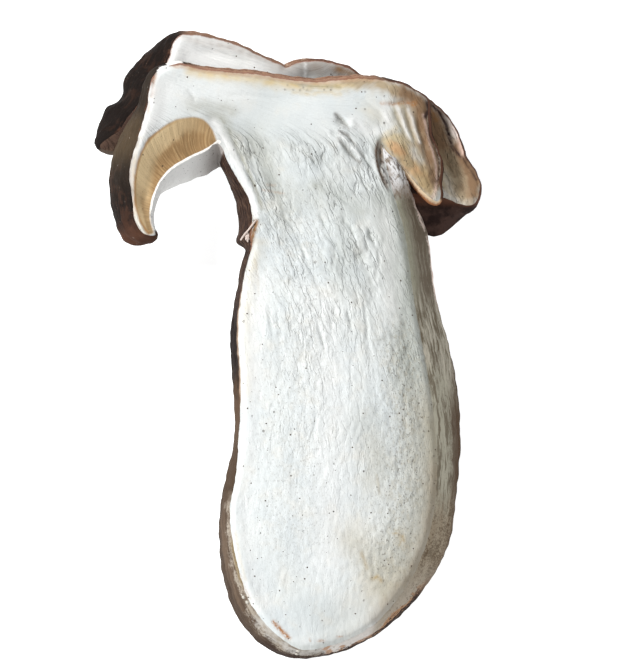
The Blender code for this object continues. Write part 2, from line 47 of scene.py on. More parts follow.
# A station is a point of the front rim and the point of the back rim below it, each x, y, z in millimetres.
# A line drawn on a face is one row: two measures of the stroke, then the x and y of each of its points.
frontSlab = {
    "rimSpacing": 0.3, "faceSpacing": 0.27, "backSpacing": 1.3, "wallRows": 14,
    "wallBulge": 0.5, "marginBulge": 0.25, "marginRoll": 0.6, "crumpleBulge": 1.1, "crumpleLift": 2.4,
    "rimFray": 0.1, "edgeRounding": 0.22, "lipHeight": 0.16,
    "grainHeight": 0.04, "swellHeight": 0.3, "padHeight": 0.12, "flakeHeight": 0.13,
    "fibreLean": 0.0078, "fibreSpread": 0.22,
    "tubeRecess": 0.7, "tubeRibHeight": 0.02, "tubeRibPitch": 0.9, "lobeTubeRecess": 0.12,
    "lineTop": 0.32, "lineSide": 0.07, "plainTip": 0,
    # width, length and depth of each size of wrinkle, and how open its bottom is
    "wrinkles": [(4.2, 15, 0.26, 0.17), (2.3, 7, 0.18, 0.24), (1.2, 3.2, 0.05, 0.3)],
    "stations": [
        ("margin", [
            (14.7, 32.7, 9.7, 15.5, 32.2, 5.2), (15.1, 30.2, 9.4, 16.3, 29.8, 4.6),
            (15.8, 27.3, 9.2, 18.6, 27, 3.6), (16.9, 23.8, 9, 21, 24, 2.8), (18.2, 19.8, 8.8, 23, 20.6, 2.4),
            (19, 16, 8.7, 24, 16.6, 2.2), (19.6, 11.2, 8.6, 24.4, 12.2, 2), (20.3, 6.4, 8.5, 25.2, 7.4, 1.9),
            (21.4, 0.7, 8.4, 26.9, 1.6, 1.8), (22.4, -4.9, 8.3, 28.2, -4.2, 1.7),
            (23.3, -11.3, 8.2, 28.8, -10.6, 1.6), (23.8, -17.6, 8.1, 28.8, -17.1, 1.5),
            (23.6, -24, 8, 28.2, -23.8, 1.5), (22.5, -30.3, 7.8, 27, -30.6, 1.5),
            (20.2, -36.1, 7.6, 24.5, -36.2, 1.5), (17.2, -40.5, 7.4, 20.8, -41.1, 1.5),
            (13.2, -44.6, 7.2, 16, -45.3, 1.5), (8.1, -47.2, 7, 10.5, -48.2, 1.5),
        ]),
        ("foot", [
            (2.8, -48.3, 6.8, 3.6, -49.6, 1.5), (-0.1, -47.2, 7, -0.7, -49.1, 1.5),
            (-3.5, -44.4, 7.3, -4.9, -46.4, 1.5), (-6.3, -40.6, 7.6, -8.1, -42, 1.3),
            (-8, -35.8, 7.8, -9.9, -35.9, 1.3), (-9.2, -30, 8, -10.4, -30.4, 1.3),
            (-9.4, -25.8, 8, -10.1, -25.4, 1.3),
        ]),
        ("stem", [
            (-8.5, -21.2, 8, -9.1, -20.4, 1.3), (-8.2, -16.4, 8, -8.2, -16.1, 1.3),
            (-7.9, -10.9, 8, -8, -10.3, 1.4), (-7.9, -5.4, 8.2, -8.4, -4.2, 1.5),
            (-8.3, -0.7, 8.3, -8.7, 0.5, 1.6), (-8.3, 3.6, 8.4, -8.4, 4.2, 1.6),
            (-7.8, 8.1, 8.5, -7.6, 9.3, 1.7), (-7.2, 11.6, 8.7, -7.2, 12.7, 1.8),
            (-6.3, 15.1, 8.9, -6.5, 15.5, 2), (-6.4, 17, 9, -8, 16.8, 2.4), (-6.2, 19, 9, -7.6, 19.4, 2.2),
            (-6.8, 22.5, 9.2, -8.1, 23.1, 2.5), (-8.2, 25, 9.4, -9.1, 25.8, 2.8),
            (-10, 28, 9.6, -10.1, 28, 3.2),
        ]),
        ("pores", [
            (-11.8, 31.4, 9.8, -11, 28.9, 3.4), (-13.9, 30, 10, -12.8, 27.7, 3.6),
            (-15.9, 28.9, 10.2, -14.8, 26.8, 3.8), (-18, 27.6, 10.5, -17.2, 25.7, 4.2),
            (-20.1, 25.9, 10.8, -19.5, 24.5, 4.8), (-21.5, 23.7, 11, -21.1, 23.2, 5.3),
            (-22.2, 21.5, 11, -21.9, 21.5, 5.8), (-22.5, 19.4, 10.8, -22.2, 19.8, 6),
            (-22.2, 17.6, 10.5, -22.1, 18, 6),
        ]),
        ("cap", [
            (-21.7, 16.3, 10, -21.9, 16.2, 6), (-23.2, 16.3, 10.2, -23.8, 15.3, 5.5),
            (-24.4, 17.3, 10.6, -26.1, 15.8, 5.2), (-25.2, 19, 11, -27.4, 18, 5.2),
            (-25.4, 21, 11.5, -28.3, 21, 5.6), (-25.8, 22.9, 12, -28.8, 23.6, 6.1),
            (-26.1, 24.9, 12.3, -28.9, 26.2, 6.5), (-25.9, 27.1, 12.4, -28.6, 28.6, 6.8),
            (-25.3, 29.4, 12.3, -27.9, 31, 6.9), (-24.6, 31.8, 12.2, -26.8, 33.5, 6.9),
            (-23.9, 34.5, 12, -25.2, 36.2, 7), (-23.3, 37, 11.8, -24.2, 38.6, 7.1),
            (-23, 39.5, 11.6, -23.5, 40.8, 7.2), (-22, 42.1, 11.4, -22.3, 43, 7.3),
            (-18.5, 43.8, 11.2, -18.8, 44.3, 7.5), (-15.2, 43.3, 11, -15.4, 43.8, 7.5),
            (-11, 43, 11, -11.3, 43.5, 7.5), (-5.6, 42.8, 11, -5.7, 43.3, 7.4),
            (-0.5, 42.2, 10.8, -0.6, 42.9, 7.2), (4, 42.1, 10.6, 4, 42.6, 7),
            (8.4, 42.7, 10.5, 8.5, 43.2, 6.9), (11.9, 43, 10.4, 12, 43.6, 6.8),
            (16.7, 42.5, 10.2, 16.8, 43, 6.6), (20.1, 41.4, 9.8, 20.2, 41.8, 6.4),
            (22.2, 39.9, 9.3, 22.4, 40.2, 6.2), (22.5, 37.2, 8.8, 22.9, 37.5, 5.9),
            (22.9, 34.3, 8.4, 23.3, 34.6, 5.6), (24, 32.1, 8.2, 24.4, 32.3, 5.3),
            (24.7, 29.8, 8, 25, 30, 5.1), (24.5, 27.1, 7.8, 24.9, 27.2, 4.9),
            (24.8, 24.9, 7.4, 24.8, 24.9, 4.7),
        ]),
        ("pores", [
            (24.2, 23.7, 7.2, 24.2, 24, 4.6), (22.4, 24.5, 7.8, 22.6, 24.7, 4.4),
            (20.1, 26.7, 8.4, 20.6, 27, 4.3), (18, 28.9, 9, 18.5, 29.2, 4.4),
            (15.9, 30.8, 9.6, 16.7, 31.3, 4.8),
        ]),
    ],
    "face": [
        (5, -38, 8.3), (15, -28, 8.6), (6, -25, 8.9), (-3, -20, 8.8), (16, -10, 8.9), (7, -10, 9.2),
        (-3, 0, 9), (6, 5, 9.4), (14, 10, 9.2), (4, 18, 9.6), (0, 28, 9.9), (-7, 34.5, 9.7), (-12, 38, 10.5),
        (4, 36, 10.8), (14, 38, 10.3), (-17, 33, 10.5), (-22, 28, 10.9), (-23.8, 22, 10.8), (19.5, 35.5, 9.3),
        (21.5, 29.5, 8.6),
    ],
    "back": [
        (6, -32, -0.5), (6, -22, -0.1), (6, -8, 0.7), (6, 6, 1), (6, 17, 1.4), (2, 26, 4), (10, 25, 4),
        (0, 32, 5), (-12, 35.5, 6), (-18, 38.5, 7), (-22.5, 29, 7), (-25, 22, 6.4), (6, 38, 6), (14, 37, 5.6),
        (20, 34, 5.5), (-6, 38.5, 6.4),
    ],
    # depth, half width and line of each crease; a depth below 0 is a lip
    "creases": [
        (0.85, 0.42, 14.3, 32.6, 14.3, 31.4, 14.4, 29.9, 14.6, 28.2),
        (0.45, 0.35, 14, 30.6, 14.3, 28, 15, 26.4, 15.8, 24.6),
        (0.55, 0.3, 6.4, 36.8, 7.2, 36.5, 8, 35.9, 8.8, 35.1, 9.1, 34.3),
        (0.24, 0.7, 6.8, 36, 7.7, 35.4, 8.3, 34.6), (-0.16, 0.5, 9.2, 36.2, 9.8, 35.2, 10, 34.2),
        (0.5, 0.24, 7.4, 34, 8.1, 33.7, 9, 33.3, 9.6, 32.5, 10.4, 31.8),
        (-0.26, 0.3, 7.2, 33.8, 8.1, 33, 9.1, 32, 9.9, 31.1, 10.9, 30),
        (0.6, 0.36, 7.3, 32.9, 8.1, 32, 9.1, 30.9, 10.1, 29.9, 10.9, 29.2),
        (0.35, 0.24, 10.3, 31.9, 10.9, 31.1, 11.7, 30, 12.7, 28.7, 13.8, 27.4),
        (0.3, 0.26, 6, 33.9, 6.8, 33.4, 7.5, 32.8),
        (-0.2, 0.8, -12.6, 34.6, -10.6, 31.8, -8.4, 27.8, -6.8, 24.1, -5.8, 20.6),
        (0.2, 0.28, -11.6, 35.4, -10.4, 34, -8.9, 30.8, -7.3, 27.6, -5.7, 24.1, -4.8, 21.2),
        (0.4, 2, -10.4, 36, -6.6, 33, -4, 28.5, -2.6, 23, -2, 18),
        (0.3, 0.5, 14.8, 38.7, 16.9, 39, 18.4, 39.3, 20.5, 38.9),
        (0.12, 0.3, -12.6, 38.8, -8.5, 39.2, -4.5, 39, -0.5, 38.8, 2.7, 38.3),
        (0.12, 0.3, 8.4, 39.7, 11.7, 39.2, 14.2, 37.4, 16.3, 34.9),
        (0.15, 0.3, -17.2, 39.8, -16.1, 38.8, -15.6, 37.6),
        (0.32, 0.3, 5.8, 24.1, 7.1, 23.6, 8.4, 22.9, 9.7, 21.8),
        (0.3, 0.28, 4.4, 21.1, 4.7, 20, 5.4, 18.6, 5.8, 17.6),
        (0.28, 0.28, 7.6, 20.6, 8.4, 19.6, 9.4, 18.5, 9.9, 17.4, 10.2, 16),
        (0.26, 0.26, 9.4, 17.4, 10.3, 17.6, 11, 17.1),
        (0.3, 0.28, 12.3, 19.1, 12.6, 17.5, 13.4, 15.9, 13.9, 14.6), (0.24, 0.6, 10.8, 14.5, 11.1, 13.3),
        (0.26, 0.28, 1, 15.9, 2, 14.3, 2.6, 12.4), (0.26, 0.3, 5.4, 16.8, 7, 15.9, 8.1, 14.6),
        (0.24, 0.26, -3.7, 5.7, -3.3, 3, -2.6, -0.5), (0.24, 0.26, 8.7, 6.4, 9.3, 3.9, 10, 0.7),
        (0.24, 0.26, 11.7, 6.5, 12.1, 3, 12.4, -0.2), (0.2, 0.26, 4.2, 3.2, 4.8, 0.6, 5.6, -1.6),
        (0.3, 0.4, 15.8, 39, 16.4, 38, 17.4, 36.2, 18.3, 34.4, 19.2, 32.8, 20.2, 31.4),
        (-0.22, 0.4, 16.8, 39, 17.2, 38.2, 17.9, 36.6, 18.5, 34.9, 19.3, 33.3, 20.4, 31.6),
        (0.34, 0.4, 17.8, 39.2, 18.4, 38, 19.1, 36.4, 19.7, 34.6, 20.5, 32.5, 21.4, 30.6),
        (-0.2, 0.38, 18.7, 39, 19.2, 37.8, 19.8, 36.2, 20.4, 34.3, 21.1, 32.4, 21.8, 30.6),
        (0.36, 0.5, 20, 39, 20.5, 37.2, 21, 35, 21.7, 32.8, 22.4, 30.6, 22.8, 28.8),
        (-0.18, 0.3, 21.5, 37.6, 22, 35.8, 22.5, 33.8, 23.1, 31.8, 23.7, 29.6, 23.9, 27.4),
        (0.24, 0.3, 22, 36, 22.5, 34.4, 23.1, 32.6, 23.8, 30.8, 24.1, 28.6, 24.1, 26.2),
    ],
    # places the wrinkles leave smooth
    "calm": [
        (3, 0.85, -0.5, 26.5, 1.5, 23.2, 4, 19.6), (2.6, 0.75, -4.6, 14, -5.6, 0, -6, -14),
        (2.2, 0.8, 9.5, 21.6, 14.5, 19.5, 16.5, 12, 16.8, 4), (3, 0.8, -9, 36.5, -2, 36, 4, 34.5),
        (4, 0.7, -20, 38, -12, 40.5, 0, 40, 12, 40.5), (3, 0.8, 11, 38, 15, 38, 19, 36),
        (2.6, 1, -22.6, 40, -24, 35, -25.4, 30, -26, 25, -25.4, 20),
        (1.2, 0.9, -12.6, 34.8, -10.6, 32, -8.4, 28, -6.7, 24.1, -5.7, 20.6),
    ],
    # half width, height and line of each stretch of coarse bumps
    "rugged": [(4.5, 0.13, 17.5, 2, 18.5, -10, 18, -24, 14, -35), (6, 0.05, 4, 0, 4, -20, 2, -36)],
    # half width, strength and line of each soft patch of colour or of painted shade on the cut face
    "tints": {
        "cream": [
            (1.1, 0.3, -5.4, 15.3, -6.2, 11.2, -6.9, 6.4, -7, 0, -7.2, -7.9),
            (0.5, 0.5, -24.8, 31.6, -25.4, 26, -25.1, 20.2, -23.2, 16.4),
            (0.8, 0.3, -25.7, 26.6, -25.9, 23, -25.4, 19.4, -24.2, 17),
            (0.9, 0.95, -16.4, 42.7, -13.4, 42.2, -8.6, 41.9, -3.8, 41.5, 1.1, 41, 6, 41.2, 10.1, 41.8),
            (0.7, 0.8, -15, 42.2, -12.9, 41.7), (0.4, 0.6, 0, 40, 2.7, 39.8, 5.1, 40.2, 7.6, 40),
            (2, 0.25, 12.6, 37.6, 15.4, 36.6, 17, 35.6), (3.5, 0.3, 10, -31, 13, -34, 14, -38),
            (1.8, 0.14, 13.5, -17.5, 13.4, -20.4, 13, -22.4), (1.2, 0.3, 11.3, -33.2, 12, -34.8, 13.4, -37.4),
            (0.8, 0.5, 15.2, 33.8, 17, 35),
            (0.3, 1, 15.3, 31.3, 16.2, 30.3, 17.2, 29.1, 18.3, 28, 19.5, 27.1, 20.8, 25.6, 22.1, 24.5, 23.3,
             23.7), (0.8, 0.6, 15.4, 33.2, 16.6, 33.6, 17.6, 33.4),
        ],
        # olive tint, partly painted shade in the neck groove, the pleat grooves and the roll to the margin
        "olive": [
            (0.4, 0.75, -11.6, 35.4, -10.4, 34, -8.9, 30.8, -7.3, 27.6, -5.7, 24.1, -4.8, 21.2),
            (1.2, 0.5, -13.6, 36.4, -11.4, 35.6, -9.4, 32.6, -7.6, 29.4),
            (1.1, 0.5, -16, 37, -12.9, 37.3, -9.8, 36.6), (2.6, 0.24, -6, 33, -3, 27, -2, 20),
            (0.5, 0.5, 3.7, 25.1, 4.3, 24.6), (1.4, 0.5, -16.4, 37.4, -13.6, 36.8, -11.4, 34.6, -9.6, 31.4),
            (0.5, 0.35, 17.8, 23.4, 18.7, 19, 19.2, 14.2, 19.8, 9), (1.5, 0.2, 19.4, 4, 21.2, -5, 22, -14),
            (3.4, 0.32, 17.2, 2, 19, -9, 19.6, -16.9, 18, -27),
            (1.8, 0.2, 13.5, -17.5, 13.4, -20.4, 13, -22.4), (2.6, 0.3, 20, -24, 18.4, -30, 16, -35.6),
            (0.5, 0.55, 17.6, -1, 18.6, -1.4, 18, -2.4), (0.25, 0.6, 0.6, 41.2, 3, 41, 7.6, 41.1),
            (3.4, 0.3, 12, -12.8, 15.5, -20.9, 17.2, -28.6, 14, -35),
            (2, 0.3, 8.5, -31, 12.5, -35, 15, -38.5),
            (0.4, 0.8, 16.6, 38, 17.4, 36.2, 18.3, 34.4, 19.2, 32.8),
            (0.5, 0.9, 18, 38.8, 18.4, 38, 19.1, 36.4, 19.7, 34.6, 20.5, 32.5, 21.4, 30.6),
            (1.5, 0.35, 17.4, 36.6, 18.8, 35, 19.8, 33.4),
        ],
        # painted shade in and beside the creases
        "grey": [
            (0.36, 0.85, 7.3, 32.8, 8.1, 31.9, 9.1, 30.8, 10.1, 29.8, 10.9, 29.1),
            (0.5, 0.55, 7, 36.2, 7.8, 35.5, 8.4, 34.7),
            (0.22, 0.9, 6.8, 36.7, 7.4, 36.4, 8.1, 35.8, 8.8, 35, 9.1, 34.3),
            (0.22, 0.9, 7.6, 33.9, 9, 33.3, 9.6, 32.5, 10.3, 31.8),
            (0.2, 0.6, 10.4, 31.8, 11, 31, 11.8, 29.9), (0.5, 1, 14.6, 31.4, 14.6, 29.8, 15, 28, 15.9, 25.8),
            (1.2, 0.3, -13.6, 34.8, -12, 33, -10.4, 30),
        ],
        "tan": [
            (0.6, 0.3, 8, 42.2, 10, 42.6, 13.5, 42.6), (0.7, 0.3, 16.6, 40.2, 18.4, 39.8, 20.2, 39.4),
            (0.36, 1.2, -5.7, 19.1, -5.95, 17.9, -6.25, 16.6, -6.5, 15.4),
            (0.45, 0.6, 14.7, 32.2, 14.6, 30.8, 14.7, 29.8),
            (0.24, 0.9, 14, 32.4, 13.7, 31.2, 13.8, 29.8, 14.1, 28.2, 14.8, 26.6, 15.5, 25.4),
            (1.5, 0.95, 18.2, 41, 19.6, 40.2, 21.4, 38.9), (0.8, 1, 20.6, 39.8, 21.6, 38.8, 22, 37.6),
            (0.9, 1.1, 21.6, 38.4, 22.1, 36, 22.9, 33, 23.7, 30.4, 24, 26.6),
            (1.1, 1.05, 20.6, 38.6, 21.1, 36.4, 21.7, 34.2, 22.3, 32, 23.1, 29.8, 23.5, 27),
            (0.35, 0.35, -16.6, 43, -8.6, 42.3, -3.8, 41.9, 1.1, 41.4, 6, 41.5, 10.1, 42.2),
            (1.2, 0.3, 23.4, -20, 23, -26, 21.8, -31.6, 19.6, -36.4, 16.6, -40.4, 13.6, -43.4),
        ],
        "buff": [
            (1.1, 1.1, 9, 42.4, 12, 42.4, 14.5, 41.9, 17, 41.1, 19.6, 39.9, 21.4, 38.6),
            (1.2, 0.6, 17.4, 38.6, 18.6, 36, 19.6, 33.8),
            (2.2, 1, 20.4, 38.2, 21.2, 35.4, 22, 32.6, 23, 29.6, 23.4, 27),
            (0.5, 0.3, -8.6, 25.2, -7, 22.4, -6, 19.6),
        ],
        "pink": [
            (0.22, 0.9, 21.6, 37.4, 22.1, 35.6, 22.6, 33.6, 23.2, 31.7, 23.8, 29.6, 24, 27.2),
            (0.9, 0.25, -22.4, 39, -23.8, 35, -25.2, 30, -25.8, 25, -25.2, 20),
            (0.3, 0.8, 23.9, 26.4, 23.7, 24.8, 23.2, 24),
        ],
        # dark brown lines and specks, and painted shade in the notch and the slot
        "umber": [
            (0.22, 0.7, 14.9, 26.4, 15.4, 25.4, 15.8, 24.8),
            (0.24, 0.8, -22.1, 42.2, -22.4, 41, -22.6, 39.6, -22.8, 38.2), (0.1, 0.8, 14.7, 30, 15.1, 28.8),
            (0.1, 0.8, 14.6, 28.6, 15.2, 27.4), (0.1, 0.7, 15, 27, 15.6, 26),
            (0.16, 0.5, 7.5, 34, 8.2, 33.7, 8.9, 33.4),
            (0.24, 0.3, 18.9, 33.4, 19.6, 31.9, 20.5, 30.2, 21.4, 28.4),
            (0.24, 0.34, 20.6, 32.8, 21.3, 31.2, 22.2, 29.4, 23, 27.2),
            (0.16, 0.8, 22.5, 36.4, 22.8, 34.4, 23.5, 32.8, 24.1, 31.4, 24.4, 29.6, 24.3, 27),
            (0.5, 0.5, 22.4, 28.8, 23, 27.4, 23.4, 26), (0.35, 1, 22.2, 39.6, 22.5, 38.4, 22, 37.2),
            (0.2, 0.5, 14.1, 32.7, 13.8, 31.3, 13.9, 29.7, 14.2, 28, 14.9, 26.4),
            *((0.1, 0.8, x, y, x + 0.08, y) for x, y in (
                (-1.3, 40.3), (0, 40.4), (1.1, 40.4), (1.6, 40.7), (2.2, 40.4),
                (5, 40.6), (5.5, 40.9), (6.1, 40.6), (4, 41.1),
                (-1, 41.1), (11.7, 40.5), (11.7, 37.7), (10.5, 38.6))),
        ],
        "rust": [
            (0.22, 0.6, -22, 42, -22.3, 40.4, -22.6, 38.6, -22.9, 37, -23.3, 35.2),
            (0.28, 0.7, 14.4, 38.8, 16.7, 38.9, 17.9, 39.2, 19.2, 39.1, 19.9, 38.8),
            (0.34, 0.6, 16.4, 38.9, 17.4, 39), (0.4, 0.7, 18.9, 39.3, 20.1, 39.1),
            (0.32, 1.2, -2.5, -44, -1.8, -44.7, -1, -45.5, 0, -46.4),
            (0.22, 0.6, -5.6, 18.9, -5.8, 17.9, -6.1, 16.8), (0.16, 0.8, 4.6, -46.9, 5.6, -46.8),
            (0.14, 0.8, 7.6, -46.3, 8.4, -46.2), (0.12, 0.7, 3.2, -46.4, 3.4, -46.9),
            (0.18, 0.35, -4.7, 24.2, -3.1, 24, -1.4, 23.7), (0.18, 0.3, -3.9, 25.1, -2.6, 25),
            (0.2, 0.4, -7.9, -36.4, -7.2, -38.4, -6.2, -40.4),
        ],
        "ochre": [
            (0.35, 0.7, 17.9, -30.5, 18.2, -31.3), (0.8, 0.25, 17.4, -29.8, 18.4, -32),
            (0.3, 0.5, 11.3, -33.2, 11.8, -34.4, 12.2, -35.6),
            (0.3, 0.7, 13.1, -37.2, 14, -36.9, 14.5, -37.6),
            (0.2, 0.6, 16.4, -30.2, 17.2, -30, 17.8, -30.9, 17.5, -32),
            (0.18, 0.35, -5.8, 13, -5.3, 10, -5.2, 7.4), (0.25, 0.4, -8.6, -30, -7.9, -34, -6.9, -37.4),
            (0.2, 0.25, 13.8, -21, 14.2, -24),
        ],
        # whiter flesh, and painted highlight on ridges and on faces that lie in shade
        "shine": [
            (0.75, 0.9, -12.6, 34.6, -10.7, 31.8, -8.5, 27.8, -6.9, 24.1, -5.9, 20.6),
            (3, 0.2, -19, 39, -12, 39.5, -4, 37, 4, 34.8, 8, 32.5),
            (3.6, 0.6, 4.5, 6, 6, -6, 6.2, -22, 6, -34),
            (0.24, 0.9, 7.6, 33.5, 8.4, 32.7, 9.2, 31.9, 10, 31, 11, 30),
            (0.6, 0.7, 9.4, 36.2, 9.9, 35.2, 10, 34.2), (2.4, 0.4, -20, 40.5, -18, 38, -14, 39, -8, 39.5),
            (1.6, 0.7, -5.4, 10, -6.2, 0, -6, -8), (1.2, 0.7, 10, 35.6, 13, 34, 14.4, 34.4),
            (0.32, 0.8, 17, 38.6, 17.9, 36.8, 18.5, 35.1, 19.3, 33.5),
            (0.3, 0.6, 19, 38.2, 19.6, 36.9, 20.2, 34.9, 21, 33),
            (1.4, 0.8, -22.8, 39, -24.2, 34, -25.4, 29.6),
            (1.7, 0.9, -20.4, 40, -21, 38, -21.8, 35.8, -22.8, 33.4),
            (0.8, 0.8, 15, 38.4, 15.3, 36.8, 15.8, 35.4), (1.6, 0.5, 15, 21, 15.8, 12, 16.2, 4),
            (1.4, 0.4, -5.6, -6, -6.4, -16, -7.4, -26, -6.4, -35, -4, -41),
        ],
        "shade": [
            (5, 0.24, -6, 38, 0, 33, 7, 30, 8, 24),
            (2.8, 0.42, 1, 23.2, 5, 22.8, 8, 21, 8.4, 17, 8.3, 13, 8.4, 9),
            (3.2, 0.2, 10.5, 17, 11.5, 10, 11, 4), (2.4, 0.62, 4.6, 24.6, 8, 23.6, 10.8, 21.4),
            (2.2, 0.8, 14.3, 23.3, 15.1, 19.4, 15.9, 15.2, 16.9, 10.7, 18, 5.9, 18.8, 1.1, 19.4, -3.7),
            (2, 0.15, 19.4, -3.7, 20.2, -9.1, 20.8, -15.5),
            (1.3, 0.3, 17.8, -0.3, 18, -2.7, 17.6, -5.6, 18.6, -8.5, 19.9, -12.3),
            (3, 0.16, 0, -38, 4, -43, 8, -42),
            (0.6, 0.4, -0.8, -46.9, 1.1, -47.7, 3, -48, 5.2, -47.9, 7.4, -47.3),
        ],
        # where dark grains lie thick
        "dusty": [
            (4, 0.95, 18, 0, 19, -12, 18.5, -24, 16, -34), (3, 0.4, 14.5, -8, 14.5, -22, 12.5, -34),
            (6, 0.35, 0, 20, 2, 0, 0, -30), (0.6, 0.3, 0.2, 39.9, 3.2, 40, 6, 39.8),
            (1.2, 0.7, -6.6, 20.4, -5.6, 18),
        ],
    },
}
tubeLayer = {
    "byFlesh": [
        (-12, 31.8), (-12.3, 32.9), (-12.8, 34), (-13.4, 35), (-14.4, 35.4), (-15.7, 35.6), (-16.8, 35.5),
        (-18, 35.1), (-19.3, 34.5), (-20.8, 33.6), (-21.9, 32.8), (-22.9, 31.8), (-23.8, 30.6), (-24.5, 29.2),
        (-24.95, 27.6), (-25.35, 25.6), (-25.5, 23.9), (-25.45, 22.3), (-25.3, 20.6), (-25, 19.2),
        (-24.5, 17.9), (-23.7, 16.8), (-22.8, 16.1),
    ],
    "byPores": [
        (-11.8, 31.6), (-12.4, 30.9), (-13.9, 30.1), (-15.9, 29), (-18, 27.7), (-20.1, 26), (-21.5, 23.8),
        (-22.2, 21.6), (-22.5, 19.5), (-22.3, 17.8), (-21.8, 16.5),
    ],
    "lobe": [
        (14.8, 33), (16.4, 34.3), (17.7, 34.2), (19, 33.1), (19.5, 31.8), (20.3, 30.3), (21.5, 29.4),
        (22.3, 28.8), (23, 27.4), (23.7, 25.4), (23.8, 23.8), (22.5, 24.4), (20.7, 25.8), (19.4, 27.3),
        (18.2, 28.3), (17.1, 29.4), (16.1, 30.6), (15.2, 31.7),
    ],
    "runLength": 24,
}
